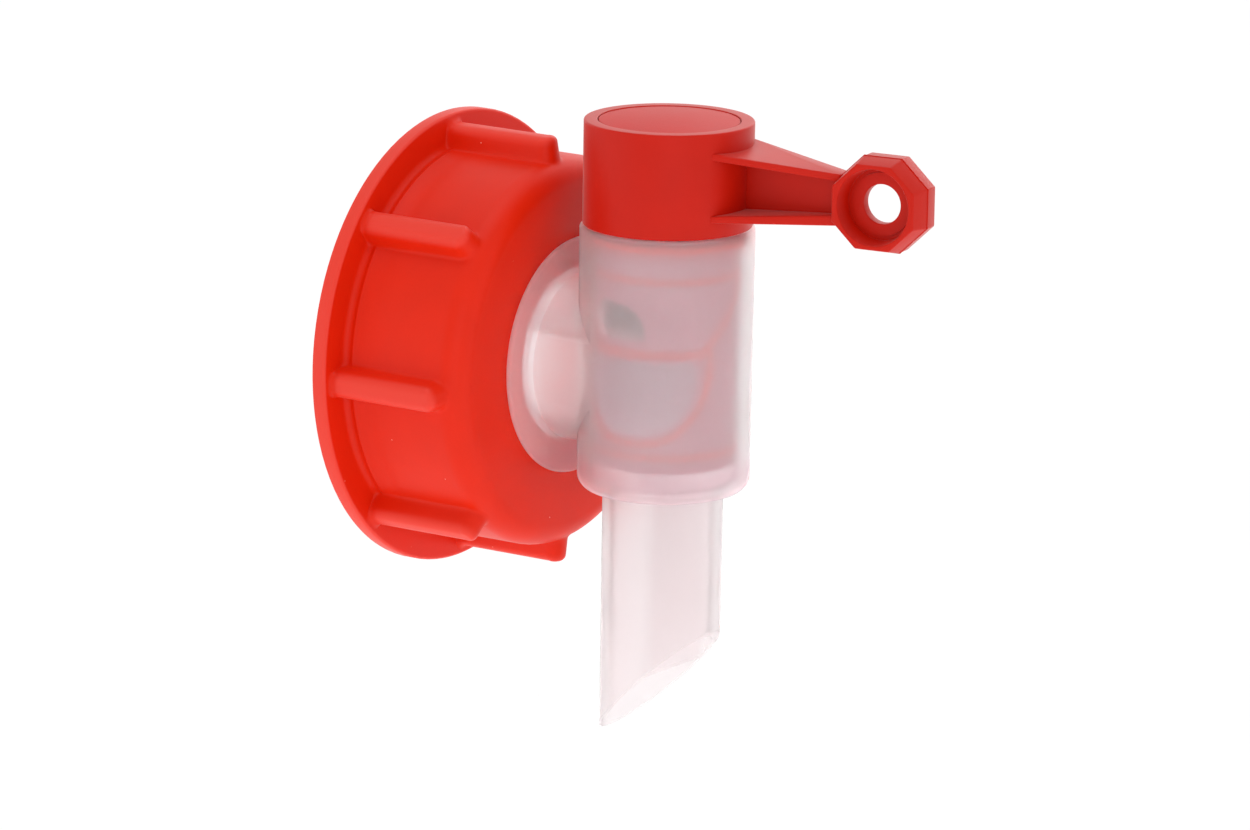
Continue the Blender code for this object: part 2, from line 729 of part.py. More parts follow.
def seal_ring(level):
    """Profile of a seal bead that runs all round the plug."""
    half = SEAL_WIDTH / 2
    return [
        (PLUG_RADIUS, level + half),
        (SEAL_CREST, level + half / 2),
        (SEAL_CREST, level - half / 2),
        (PLUG_RADIUS, level - half),
    ]


def plug_walls():
    """Level wall between the ports and upright wall down the plug, as set when closed."""
    half = SPOUT_DIVIDER / 2
    upright = SPOUT_DIVIDER_OFFSET
    hold = PLUG_BORE + PLUG_WALL / 2
    level_low = DUCT_WALL_HEIGHT - DUCT_WALL / 2
    end = math.acos((upright + half) / hold)
    outline = []
    for i in range(2 * PORT_STEPS + 1):
        angle = end + (2 * math.pi - 2 * end) * i / (2 * PORT_STEPS)
        outline.append((hold * math.cos(angle), hold * math.sin(angle)))
    level = place(slab("level_wall", outline, DUCT_WALL), (0.0, BARREL_AXIS, level_low))
    side = chord_half(PLUG_BORE, upright) + PLUG_WALL / 3
    standing = box("upright_wall", (upright - half, BARREL_AXIS - side, PLUG_BOTTOM),
                   (upright + half, BARREL_AXIS + side, level_low + DUCT_WALL / 2))
    return level, standing


def on_plug(across, height):
    """A point on the bead's centre line, from its place as seen along the ports' axis.

    The ports face -X when the tap is closed, so what lies across is along Y.
    """
    centre = SEAL_CREST - SEAL_RADIUS
    azimuth = across / PLUG_RADIUS
    return (-centre * math.cos(azimuth), centre * math.sin(azimuth), height)


def wrapped(across):
    """Length along the plug's round that shows as a given width from the ports' side."""
    return PLUG_RADIUS * math.asin(min(across / PLUG_RADIUS, 0.99))


def seal_beads():
    """The bead round the liquid port, and the one that climbs past the air port."""
    loop = []
    for x, z in port_outline(LIQUID_PORT, SEAL_MARGIN):
        loop.append(on_plug(math.copysign(wrapped(abs(x)), x), z))
    flat_end = wrapped(LIQUID_PORT[0] + SEAL_MARGIN)
    flat = LIQUID_PORT[1] + SEAL_MARGIN
    for i in range(1, PORT_STEPS):
        share = 1 - 2 * i / PORT_STEPS
        loop.append(on_plug(-flat_end * share, flat))
    inner = wrapped(AIR_PORT[0] + SEAL_MARGIN)
    outer = inner + SEAL_TOP - flat
    climb = []
    for side in (-1, 1):
        run = []
        for i in range(PORT_STEPS + 1):
            share = i / PORT_STEPS
            across = inner + (outer - inner) * share
            run.append(on_plug(side * across, flat + (SEAL_TOP - flat) * share))
        climb.append(run)
    beads = [tube("liquid_seal", loop, SEAL_RADIUS, True)]
    for name, run in zip(("air_seal_back", "air_seal_front"), climb):
        beads.append(tube(name, run, SEAL_RADIUS, False))
    for bead in beads:
        place(bead, (0.0, BARREL_AXIS, 0.0))
    return beads


def turn_with_lever(obj):
    """Place a piece of the arm, made along -Y from the barrel's axis, at the lever's turn."""
    return place(obj, (0.0, BARREL_AXIS, LEVER_CAP_UNDERSIDE), (0.0, 0.0, LEVER_TURN))


def arm_bars():
    """Top flange, bottom flange and web, each narrowing or sloping towards the eye."""
    root, tip = ARM_ROOT_HALF_WIDTH, ARM_TIP_HALF_WIDTH
    top = tapered_bar("arm_top",
                      (ARM_ROOT, -root, root, ARM_ROOT_HIGH - ARM_ROOT_FLANGE, ARM_ROOT_HIGH),
                      (ARM_TIP, -tip, tip, ARM_TIP_HIGH - ARM_TIP_TOP_FLANGE, ARM_TIP_HIGH))
    low = tapered_bar("arm_low",
                      (ARM_ROOT, -root, root, ARM_ROOT_LOW, ARM_ROOT_LOW + ARM_ROOT_FLANGE),
                      (ARM_TIP, -tip, tip, ARM_TIP_LOW, ARM_TIP_LOW + ARM_TIP_LOW_FLANGE))
    near = ARM_WEB_FRONT
    far = ARM_WEB_FRONT + ARM_WEB
    half = ARM_ROOT_FLANGE / 2
    web = tapered_bar("arm_web",
                      (ARM_ROOT + half, near, far, ARM_ROOT_LOW + half, ARM_ROOT_HIGH - half),
                      (ARM_TIP, near, far, ARM_TIP_LOW + half, ARM_TIP_HIGH - half))
    return [turn_with_lever(obj) for obj in (top, low, web)]


def lay_across_eye(obj):
    """Place a tool made round Z so that its top faces the near side, at the eye's centre."""
    location = (
        math.sin(LEVER_TURN) * EYE_DISTANCE,
        BARREL_AXIS - math.cos(LEVER_TURN) * EYE_DISTANCE,
        LEVER_CAP_UNDERSIDE + EYE_CENTRE_HIGH,
    )
    return place(obj, location, (math.pi / 2, 0.0, LEVER_TURN - math.pi / 2))


def lever_eye():
    """Octagonal eye, straight behind the mould's parting edge and drafted in front of it."""
    to_corner = 1 / math.cos(math.pi / EYE_SIDES)
    bm = bmesh.new()
    bmesh.ops.create_cone(bm, cap_ends=True, segments=EYE_SIDES, depth=EYE_PARTING,
                          radius1=(EYE_WIDTH + EYE_BACK_DRAFT) / 2 * to_corner,
                          radius2=EYE_WIDTH / 2 * to_corner)
    bmesh.ops.translate(bm, verts=bm.verts, vec=(0.0, 0.0, (EYE_PARTING - EYE_THICKNESS) / 2))
    top = max(bm.faces, key=lambda face: face.calc_center_median().z)
    grown = bmesh.ops.extrude_face_region(bm, geom=[top])["geom"]
    bmesh.ops.delete(bm, geom=[top], context="FACES_ONLY")
    crest = [item for item in grown if isinstance(item, bmesh.types.BMVert)]
    narrowing = (EYE_WIDTH - EYE_FRONT_DRAFT) / EYE_WIDTH
    bmesh.ops.scale(bm, verts=crest, vec=(narrowing, narrowing, 1.0))
    bmesh.ops.translate(bm, verts=crest, vec=(0.0, 0.0, EYE_THICKNESS - EYE_PARTING))
    flats_level = Matrix.Rotation(math.pi / EYE_SIDES, 3, "Z")
    bmesh.ops.rotate(bm, verts=bm.verts, matrix=flats_level)
    bmesh.ops.scale(bm, verts=bm.verts, vec=(1.0, EYE_HEIGHT_RATIO, 1.0))
    bmesh.ops.recalc_face_normals(bm, faces=bm.faces)
    return lay_across_eye(add_object("eye", mesh_from_bmesh("eye", bm)))


def eye_cutters():
    """The deep recess in the eye's near side, the shallow one behind, and the hole."""
    front = EYE_THICKNESS / 2
    underside = EYE_BACK_RECESS - front
    floor = underside + EYE_FLOOR
    draft = EYE_RECESS_DRAFT / (front - floor)
    recess = turned("eye_recess", [
        (0.0, front + CUT_EXTRA),
        (EYE_RECESS_RADIUS + draft * CUT_EXTRA, front + CUT_EXTRA),
        (EYE_RECESS_RADIUS - EYE_RECESS_DRAFT, floor),
        (0.0, floor),
    ], DISC_STEPS)
    back = turned("eye_back_recess", [
        (0.0, underside),
        (EYE_RECESS_RADIUS - EYE_RECESS_DRAFT, underside),
        (EYE_RECESS_RADIUS - EYE_RECESS_DRAFT, -front - CUT_EXTRA),
        (0.0, -front - CUT_EXTRA),
    ], DISC_STEPS)
    hole = turned("eye_hole", [
        (0.0, floor + CUT_EXTRA),
        (EYE_HOLE_RADIUS, floor + CUT_EXTRA),
        (EYE_HOLE_RADIUS, underside - CUT_EXTRA),
        (0.0, underside - CUT_EXTRA),
    ], DISC_STEPS // 2)
    return [lay_across_eye(tool) for tool in (recess, back, hole)]


def lever_arm():
    """The eye with the arm's bars, as one solid that reaches into the cap's wall."""
    arm = lever_eye()
    join(arm, *arm_bars())
    cut(arm, *eye_cutters())
    return arm


def lever_plug():
    """Plug, cap and lever in one moulding, as they stand when the tap is closed."""
    plug = plug_and_cap()
    join(plug, *plug_walls())
    cut(plug, *port_cutters("plug", LEVER_SWING))
    join(plug, *seal_beads(), lever_arm())
    cut(plug, stop_notch())
    return finish(plug, lever_red())


def top_disc():
    """Domed lid with a skirt that plugs into the cap's recess."""
    edge_radius = LEVER_CAP_BORE - CLEARANCE
    seat = LEVER_CAP_TOP - TOP_DISC_SINK - TOP_DISC_THICKNESS
    rim = seat + TOP_DISC_THICKNESS
    skirt = LEVER_CAP_RECESS - CLEARANCE
    skirt_inner = skirt - TOP_DISC_SKIRT_WALL
    bevel = CLEARANCE
    dome_radius = edge_radius - bevel
    sphere = (dome_radius ** 2 + TOP_DISC_DOME ** 2) / (2 * TOP_DISC_DOME)
    half_angle = math.degrees(math.asin(dome_radius / sphere))
    profile = arc(0.0, rim + TOP_DISC_DOME - sphere, sphere, 90, 90 - half_angle)
    profile[0] = (0.0, rim + TOP_DISC_DOME)
    profile += [
        (edge_radius, rim - bevel),
        (edge_radius, seat),
        (skirt, seat),
        (skirt, seat - TOP_DISC_SKIRT),
        (skirt_inner, seat - TOP_DISC_SKIRT),
        (skirt_inner, seat),
        (0.0, seat),
    ]
    disc = turned("top_disc", profile, BARREL_STEPS, collection=COLLECTION)
    return finish(place(disc, (0.0, BARREL_AXIS, 0.0)), disc_red())


def parent_pieces(pieces):
    """The lever carries its top disc, and the tap body carries the lever and the gasket."""
    for child, parent in (("top_disc", "lever_plug"), ("lever_plug", "tap_body"),
                          ("neck_gasket", "tap_body"), ("tap_body", "screw_cap")):
        pieces[child].parent = pieces[parent]
        pieces[child].matrix_parent_inverse = pieces[parent].matrix_world.inverted()


def main():
    clear_scene()
    built = [make() for make in (screw_cap, neck_gasket, tap_body, lever_plug, top_disc)]
    parent_pieces({obj.name: obj for obj in built})


main()
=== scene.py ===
"""Jerrycan tap in its finished look: fine mouldings and their plastics around the packed CAD part."""
import math

import bmesh
import bpy
import numpy as np
from mathutils import Matrix, Vector


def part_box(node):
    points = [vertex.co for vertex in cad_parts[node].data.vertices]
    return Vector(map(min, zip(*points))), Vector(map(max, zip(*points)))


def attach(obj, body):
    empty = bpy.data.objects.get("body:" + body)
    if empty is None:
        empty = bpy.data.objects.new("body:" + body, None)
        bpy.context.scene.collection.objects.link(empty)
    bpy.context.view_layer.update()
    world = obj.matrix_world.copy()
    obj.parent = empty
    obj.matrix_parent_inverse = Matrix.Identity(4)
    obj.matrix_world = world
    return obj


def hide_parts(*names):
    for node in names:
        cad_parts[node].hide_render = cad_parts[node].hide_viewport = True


bl_info = {
    "name": "Jerrycan Tap",
    "version": (1, 0, 0),
    "blender": (4, 5, 0),
    "location": "View3D > Sidebar > Jerrycan Tap",
    "description": "Builds the mouldings of a quarter turn jerrycan tap, their plastics and a pale stage",
    "category": "Add Mesh",
}

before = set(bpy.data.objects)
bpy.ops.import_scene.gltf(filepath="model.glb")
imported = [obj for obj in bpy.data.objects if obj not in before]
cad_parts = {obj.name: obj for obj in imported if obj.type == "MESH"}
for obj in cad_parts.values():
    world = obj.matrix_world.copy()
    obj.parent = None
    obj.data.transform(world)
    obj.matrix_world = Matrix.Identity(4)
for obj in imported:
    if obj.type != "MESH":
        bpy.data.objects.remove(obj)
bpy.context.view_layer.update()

CAP_LOW, CAP_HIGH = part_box("screw_cap")
BODY_LOW, BODY_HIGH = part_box("tap_body")
LEVER_LOW, LEVER_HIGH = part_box("lever_plug")
DISC_LOW, DISC_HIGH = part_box("top_disc")
GASKET_LOW, GASKET_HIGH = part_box("neck_gasket")

GAP = 0.0003
BARREL_Y = -0.0224
MERGE = 0.000001
SMOOTH_ANGLE = math.radians(32.0)
ROUND_STEPS = 128
SMALL_STEPS = 96


# ---- what a user would change --------------------------------------------------------------

def length(name, default, description, low=0.0):
    return bpy.props.FloatProperty(name=name, default=default, description=description,
                                   min=low, unit="LENGTH", precision=5)


def colour(name, default, description):
    return bpy.props.FloatVectorProperty(name=name, default=default, description=description,
                                         subtype="COLOR", size=3, min=0.0, max=1.0)


def share(name, default, description):
    return bpy.props.FloatProperty(name=name, default=default, description=description,
                                   subtype="FACTOR", min=0.0, max=1.0)


class TapCapSettings(bpy.types.PropertyGroup):
    """Screw cap and its gasket."""
    radius: length("Wall radius", 0.0319, "Outer radius of the cap's wall")
    wall: length("Wall", 0.0014, "Thickness of the cap's wall")
    face: length("Face", 0.0020, "Thickness of the cap's face")
    shoulder: length("Shoulder", 0.0040, "Radius of the round between wall and face")
    flange_radius: length("Flange radius", CAP_HIGH.x, "Outer radius of the flange")
    flange_thickness: length("Flange", 0.0026, "Thickness of the flange")
    flange_edge: length("Flange edge", 0.00045, "Radius of the flange's edges")
    foot_fillet: length("Foot fillet", 0.0010, "Fillet between the flange and the wall")
    hole_radius: length("Hole radius", 0.0140, "Hole in the face, round the tap's neck")
    rib_count: bpy.props.IntProperty(name="Ribs", default=8, min=3, max=24,
                                     description="Number of grip ribs")
    rib_reach: length("Rib reach", 0.0357, "Distance of a rib's crest from the cap's axis")
    rib_half_crest: length("Rib crest", 0.0020, "Half the width of a rib at its crest")
    rib_slope: bpy.props.FloatProperty(name="Rib slope", default=8.1, min=1.0,
                                       description="Height over width of a rib's side")
    rib_round: length("Rib round", 0.0017, "Round along a rib's crest")
    nose_round: length("Nose round", 0.0009, "Round at the end of a rib's crest")
    rib_fillet: length("Rib fillet", 0.0006, "Fillet at a rib's foot")
    rib_turn: bpy.props.FloatProperty(name="Rib turn", default=math.radians(3.5), unit="ROTATION",
                                      description="Turn of the first rib from the top")
    thread_pitch: length("Thread pitch", 0.0040, "Rise of the inner thread in one turn")
    thread_depth: length("Thread depth", 0.0011, "Height of the inner thread")
    thread_turns: bpy.props.FloatProperty(name="Thread turns", default=2.25, min=0.5, max=6.0,
                                          description="Turns of the inner thread")
    plastic: colour("Red", (0.76, 0.018, 0.0012), "Colour of the cap")
    # Paler red of the rib crests and the flange's edge: partly rubbing wear, partly a painted highlight.
    rub_and_highlight_red: colour("Rubbed red", (0.82, 0.052, 0.032), "Colour of the cap where hands rub it")
    foam: colour("Foam", (0.82, 0.82, 0.80), "Colour of the gasket")


class TapBodySettings(bpy.types.PropertyGroup):
    """Translucent tap body."""
    barrel_radius: length("Barrel radius", 0.0141, "Outer radius at the barrel's top")
    barrel_draft: length("Barrel draft", 0.00018, "How much slimmer the barrel is at its foot")
    barrel_wall: length("Barrel wall", 0.0016, "Thickness of the barrel's wall")
    barrel_top: length("Barrel top", 0.02355, "Height of the barrel's top")
    barrel_foot: length("Barrel foot", -0.01976, "Height of the barrel's foot", low=-1.0)
    foot_round: length("Foot round", 0.0026, "Round at the barrel's foot")
    neck_radius: length("Neck radius", 0.0137, "Outer radius of the neck")
    neck_bore: length("Neck bore", 0.0120, "Radius of the neck's bore")
    disc_radius: length("Disc radius", 0.01936, "Outer radius of the thrust disc")
    spout_radius: length("Spout radius", 0.00975, "Outer radius of the spout at its root")
    spout_wall: length("Spout wall", 0.0013, "Thickness of the spout's wall")
    spout_tip: length("Spout tip", BODY_LOW.z, "Height of the spout's tip", low=-1.0)
    spout_short_side: length("Spout short side", -0.04211, "Height of the mouth's upper end",
                             low=-1.0)
    plastic: colour("Natural", (0.996, 0.945, 0.952), "Colour of the uncoloured plastic")
    # The following five colours are painted light and shade: the light of the cap, lever and plug through
    # the walls, and darker painted shade on the neck and spout.
    cap_light_painted: colour("Natural by the cap", (1.0, 0.94, 0.95), "Colour that the cap lends the disc")
    neck_shade_painted: colour("Natural of the neck", (0.965, 0.905, 0.915), "Colour of the neck's wall")
    spout_shade_painted: colour("Natural of the spout", (0.938, 0.895, 0.900), "Colour of the spout's wall")
    lever_red_light_painted: colour("Natural by the lever", (0.97, 0.83, 0.83), "Colour that the lever lends the rim")
    plug_red_light_painted: colour("Natural by the plug", (0.925, 0.82, 0.845), "Colour that the plug lends the foot")
    clarity: share("Clarity", 0.82, "Share of the light that passes through the plastic")
    frost: share("Frost", 0.95, "Roughness of the frosted plastic")


class TapLeverSettings(bpy.types.PropertyGroup):
    """Lever with its plug, and the disc on top."""
    cap_radius: length("Cap radius", 0.01371, "Outer radius of the lever's cap")
    cap_foot: length("Cap foot", 0.0237, "Height of the lever cap's underside")
    cap_top: length("Cap top", 0.0408, "Height of the lever cap's top")
    cap_edge: length("Cap edge", 0.00032, "Round at the top of the lever's cap")
    plug_radius: length("Plug radius", 0.01162, "Outer radius of the plug")
    plug_wall: length("Plug wall", 0.0015, "Thickness of the plug's wall")
    plug_foot: length("Plug foot", -0.0150, "Height of the plug's foot", low=-1.0)
    seal_crest: length("Seal crest", 0.01197, "Radius at the crest of the seal beads")
    turn: bpy.props.FloatProperty(name="Lever turn", default=math.radians(7.57), unit="ROTATION",
                                  description="Turn of the lever from straight ahead")
    eye_distance: length("Eye distance", 0.03742, "Distance of the eye from the barrel's axis")
    eye_width: length("Eye width", 0.01578, "Width of the eye across its flats")
    eye_thickness: length("Eye thickness", 0.0067, "Thickness of the eye")
    plastic: colour("Lever red", (0.57, 0.009, 0.0008), "Colour of the lever")
    # The following four colours are painted: the barrel wall's haze over the plug, fainter on its beads
    # and stronger in its hollow, and painted light in the hollow at the air port.
    haze_painted_red: colour("Veiled red", (0.46, 0.135, 0.185), "Colour of the plug between its seal beads")
    bead_haze_painted_red: colour("Sealing red", (0.57, 0.048, 0.058), "Colour of the seal beads on the plug")
    hollow: colour("Hollow red", (0.72, 0.46, 0.54), "Colour of the plug's inside")
    air_side_painted_light: colour("Air side", (1.0, 0.66, 0.70), "Colour of the plug's inside at its air port")
    disc_plastic: colour("Disc red", (0.60, 0.016, 0.010), "Colour of the top disc")


class TapStageSettings(bpy.types.PropertyGroup):
    """Floor, light and camera."""
    floor_height: length("Floor height", -0.115, "Height of the floor", low=-2.0)
    floor_size: length("Floor size", 6.0, "Side of the floor")
    floor_colour: colour("Floor", (0.90, 0.90, 0.90), "Colour of the floor")
    key_power: bpy.props.FloatProperty(name="Key light", default=2.5, unit="POWER", min=0.0,
                                       description="Power of the main soft light")
    rim_power: bpy.props.FloatProperty(name="Rim light", default=2.0, unit="POWER", min=0.0,
                                       description="Power of the light from behind and above")
    fill_power: bpy.props.FloatProperty(name="Fill light", default=0.6, unit="POWER", min=0.0,
                                        description="Power of the light from the right")
    side_power: bpy.props.FloatProperty(name="Side light", default=0.6, unit="POWER", min=0.0,
                                        description="Power of the light from the left")
    bounce_power: bpy.props.FloatProperty(name="Bounce light", default=0.7, unit="POWER", min=0.0,
                                          description="Power of the low light from the front")
    room_light: bpy.props.FloatProperty(name="Room light", default=0.62, min=0.0,
                                        description="Strength of the even light all round")


# ---- modelling steps -----------------------------------------------------------------------

def pick(*objects):
    """Select just these objects, the first of them active."""
    bpy.ops.object.select_all(action="DESELECT")
    for obj in objects:
        obj.select_set(True)
    bpy.context.view_layer.objects.active = objects[0]


def edit(obj, mode="VERT"):
    """Open one mesh for editing with nothing selected in it."""
    pick(obj)
    bpy.ops.object.mode_set(mode="EDIT")
    bpy.ops.mesh.select_mode(type=mode)
    bpy.ops.mesh.select_all(action="DESELECT")


def leave_edit():
    bpy.ops.object.mode_set(mode="OBJECT")


def settle_place(obj):
    """Move the object's place, turn and scale into its mesh."""
    pick(obj)
    bpy.ops.object.transform_apply(location=True, rotation=True, scale=True)
    return obj


def place(obj, location=(0.0, 0.0, 0.0), rotation=(0.0, 0.0, 0.0)):
    obj.location = location
    obj.rotation_euler = rotation
    return settle_place(obj)


def lay_along_cap_axis(obj):
    """Turn a form drawn round Z so that its top points into the container."""
    return place(obj, rotation=(-math.pi / 2, 0.0, 0.0))


def stand_on_barrel_axis(obj):
    return place(obj, location=(0.0, BARREL_Y, 0.0))


def arc(centre, radius, start, end, steps):
    """Rings along a round, as (radius, height) pairs between two angles in degrees."""
    rings = []
    for i in range(steps + 1):
        angle = math.radians(start + (end - start) * i / steps)
        rings.append((centre[0] + radius * math.cos(angle), centre[1] + radius * math.sin(angle)))
    return rings


def ring_form(name, rings, steps, closed=False, fill_start=False, fill_end=False):
    """Draw a circle and extrude it ring by ring round Z, each ring scaled to its radius."""
    radius, height = rings[0]
    bpy.ops.object.select_all(action="DESELECT")
    bpy.ops.mesh.primitive_circle_add(vertices=steps, radius=radius, location=(0.0, 0.0, height))
    obj = bpy.context.object
    obj.name = name
    obj.data.name = name
    bpy.ops.object.mode_set(mode="EDIT")
    bpy.ops.mesh.select_mode(type="VERT")
    bpy.ops.mesh.select_all(action="SELECT")
    for (r1, h1), (r2, h2) in zip(rings, rings[1:]):
        bpy.ops.mesh.extrude_edges_move(TRANSFORM_OT_translate={"value": (0.0, 0.0, h2 - h1)})
        bpy.ops.transform.resize(value=(r2 / r1, r2 / r1, 1.0), center_override=(0.0, 0.0, h2))
    if fill_end:
        bpy.ops.mesh.edge_face_add()
    if fill_start:
        leave_edit()
        edit(obj)
        leave_edit()
        for vert in obj.data.vertices:
            vert.select = vert.index < steps
        bpy.ops.object.mode_set(mode="EDIT")
        bpy.ops.mesh.edge_face_add()
    bpy.ops.mesh.select_all(action="SELECT")
    if closed:
        bpy.ops.mesh.remove_doubles(threshold=MERGE)
    bpy.ops.mesh.normals_make_consistent(inside=False)
    leave_edit()
    return settle_place(obj)


def solid_turned(name, rings, steps):
    """A ring form whose first and last rings are filled flat."""
    return ring_form(name, rings, steps, fill_start=True, fill_end=True)


def combine(obj, operation, *tools):
    """Join, cut or intersect with other forms, which are used up."""
    for tool in tools:
        modifier = obj.modifiers.new(tool.name, "BOOLEAN")
        modifier.operation = operation
        modifier.object = tool
        modifier.solver = "EXACT"
        pick(obj)
        bpy.ops.object.modifier_apply(modifier=modifier.name)
        bpy.data.objects.remove(tool, do_unlink=True)
    return obj


def round_edges(obj, width, segments, angle=40.0):
    """Bevel all edges sharper than an angle."""
    modifier = obj.modifiers.new("Round", "BEVEL")
    modifier.width = width
    modifier.segments = segments
    modifier.limit_method = "ANGLE"
    modifier.angle_limit = math.radians(angle)
    modifier.use_clamp_overlap = True
    modifier.harden_normals = False
    pick(obj)
    bpy.ops.object.modifier_apply(modifier=modifier.name)
    return obj


def cylinder(name, radius, low, high, steps=SMALL_STEPS, top_radius=None):
    """An upright round bar between two heights."""
    bpy.ops.object.select_all(action="DESELECT")
    bpy.ops.mesh.primitive_cone_add(vertices=steps, radius1=radius,
                                    radius2=radius if top_radius is None else top_radius,
                                    depth=high - low, location=(0.0, 0.0, (low + high) / 2))
    obj = bpy.context.object
    obj.name = name
    return settle_place(obj)


def keep_side(obj, point, normal):
    """Cut a closed form with a plane, drop what lies on the normal's side and close the cut."""
    edit(obj)
    bpy.ops.mesh.select_all(action="SELECT")
    bpy.ops.mesh.bisect(plane_co=point, plane_no=normal, use_fill=True, clear_outer=True)
    leave_edit()
    return obj


def bar(name, root, tip):
    """A four sided bar along -Y. Each end is (distance, low x, high x, low z, high z)."""
    bpy.ops.object.select_all(action="DESELECT")
    bpy.ops.mesh.primitive_cube_add(size=1.0)
    obj = bpy.context.object
    obj.name = name
    for vert in obj.data.vertices:
        distance, low_x, high_x, low_z, high_z = tip if vert.co.y < 0 else root
        vert.co = (high_x if vert.co.x > 0 else low_x, -distance,
                   high_z if vert.co.z > 0 else low_z)
    return obj


def box(name, low, high):
    """A block between two corners."""
    bpy.ops.object.select_all(action="DESELECT")
    middle = [(a + b) / 2 for a, b in zip(low, high)]
    bpy.ops.mesh.primitive_cube_add(size=1.0, location=middle,
                                    scale=[b - a for a, b in zip(low, high)])
    obj = bpy.context.object
    obj.name = name
    return settle_place(obj)


def bead(name, points, radius, cyclic=False):
    """A round bead along a run of points."""
    curve = bpy.data.curves.new(name, "CURVE")
    curve.dimensions = "3D"
    curve.bevel_depth = radius
    curve.bevel_resolution = 2
    curve.use_fill_caps = True
    spline = curve.splines.new("POLY")
    spline.points.add(len(points) - 1)
    for point, spot in zip(spline.points, points):
        point.co = (*spot, 1.0)
    spline.use_cyclic_u = cyclic
    obj = bpy.data.objects.new(name, curve)
    bpy.context.scene.collection.objects.link(obj)
    pick(obj)
    bpy.ops.object.convert(target="MESH")
    obj = bpy.context.object
    edit(obj)
    bpy.ops.mesh.select_all(action="SELECT")
    bpy.ops.mesh.remove_doubles(threshold=MERGE)
    bpy.ops.mesh.normals_make_consistent(inside=False)
    leave_edit()
    return obj


def sector_block(name, inner, outer, start, angle, low, high):
    """A rectangle spun round the barrel's axis from one azimuth through an angle."""
    bpy.ops.object.select_all(action="DESELECT")
    bpy.ops.mesh.primitive_plane_add(size=1.0, location=((inner + outer) / 2, 0.0, (low + high) / 2),
                                     rotation=(math.pi / 2, 0.0, 0.0))
    obj = bpy.context.object
    obj.name = name
    obj.scale = (outer - inner, high - low, 1.0)
    settle_place(obj)
    edit(obj)
    bpy.ops.mesh.select_all(action="SELECT")
    bpy.ops.mesh.spin(steps=max(2, round(angle / math.radians(5.0))), angle=angle,
                      center=(0.0, 0.0, 0.0), axis=(0.0, 0.0, 1.0))
    bpy.ops.mesh.select_all(action="SELECT")
    bpy.ops.mesh.normals_make_consistent(inside=False)
    leave_edit()
    low_azimuth = min(math.atan2(vert.co.y, vert.co.x) for vert in obj.data.vertices)
    return place(obj, (0.0, BARREL_Y, 0.0), (0.0, 0.0, start - low_azimuth))


def weld_seams(obj):
    """Weld the open edges that cuts and joins leave, and take out the stray faces on them."""
    edit(obj)
    bpy.ops.mesh.select_mode(type="VERT")
    bpy.ops.mesh.select_all(action="DESELECT")
    bpy.ops.mesh.select_non_manifold()
    bpy.ops.mesh.remove_doubles(threshold=0.00003)
    bpy.ops.mesh.select_mode(type="EDGE")
    bpy.ops.mesh.select_all(action="DESELECT")
    bpy.ops.mesh.select_non_manifold()
    bpy.ops.mesh.select_mode(type="FACE")
    bpy.ops.mesh.delete(type="ONLY_FACE")
    leave_edit()


def finish_piece(obj, node, body, material, smooth_angle=SMOOTH_ANGLE):
    """Shade a piece, give it its plastic, and let it stand for its CAD node."""
    settle_place(obj)
    obj.data.name = obj.name
    pick(obj)
    bpy.ops.object.shade_smooth_by_angle(angle=smooth_angle)
    obj.data.materials.clear()
    obj.data.materials.append(material)
    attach(obj, body)
    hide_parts(node)
    return obj


# ---- plastics ------------------------------------------------------------------------------

def new_group(name, inputs, outputs):
    """A node group with named sockets, and its nodes and links to work with."""
    group = bpy.data.node_groups.new(name, "ShaderNodeTree")
    for label, kind, default in inputs:
        socket = group.interface.new_socket(name=label, in_out="INPUT", socket_type=kind)
        socket.default_value = default
    for label, kind in outputs:
        group.interface.new_socket(name=label, in_out="OUTPUT", socket_type=kind)
    start = group.nodes.new("NodeGroupInput")
    end = group.nodes.new("NodeGroupOutput")
    return group, start, end


def math_node(tree, operation, first, second, clamp=False):
    node = tree.nodes.new("ShaderNodeMath")
    node.operation = operation
    node.use_clamp = clamp
    for socket, value in zip(node.inputs, (first, second)):
        if isinstance(value, (int, float)):
            socket.default_value = value
        else:
            tree.links.new(value, socket)
    return node.outputs[0]


def noise(tree, vector, scale, detail=2.0, roughness=0.5):
    node = tree.nodes.new("ShaderNodeTexNoise")
    node.inputs["Detail"].default_value = detail
    node.inputs["Roughness"].default_value = roughness
    tree.links.new(vector, node.inputs["Vector"])
    if isinstance(scale, (int, float)):
        node.inputs["Scale"].default_value = scale
    else:
        tree.links.new(scale, node.inputs["Scale"])
    return node.outputs["Fac"]


def moulded_skin_group():
    """Fine orange peel of a mould's surface, with slow swells and an uneven tone."""
    group, start, end = new_group("Moulded skin", [
        ("Vector", "NodeSocketVector", (0.0, 0.0, 0.0)),
        ("Grain Scale", "NodeSocketFloat", 2600.0),
        ("Swell Scale", "NodeSocketFloat", 120.0),
        ("Grain", "NodeSocketFloat", 0.5),
    ], [("Height", "NodeSocketFloat"), ("Tone", "NodeSocketFloat")])
    grain = noise(group, start.outputs["Vector"], start.outputs["Grain Scale"], 3.0, 0.6)
    swell = noise(group, start.outputs["Vector"], start.outputs["Swell Scale"], 2.0, 0.5)
    fine = math_node(group, "MULTIPLY", grain, start.outputs["Grain"])
    group.links.new(math_node(group, "ADD", fine, swell), end.inputs["Height"])
    tone = math_node(group, "MULTIPLY", grain, 0.35)
    slow = math_node(group, "MULTIPLY", swell, 0.65)
    group.links.new(math_node(group, "ADD", tone, slow), end.inputs["Tone"])
    return group


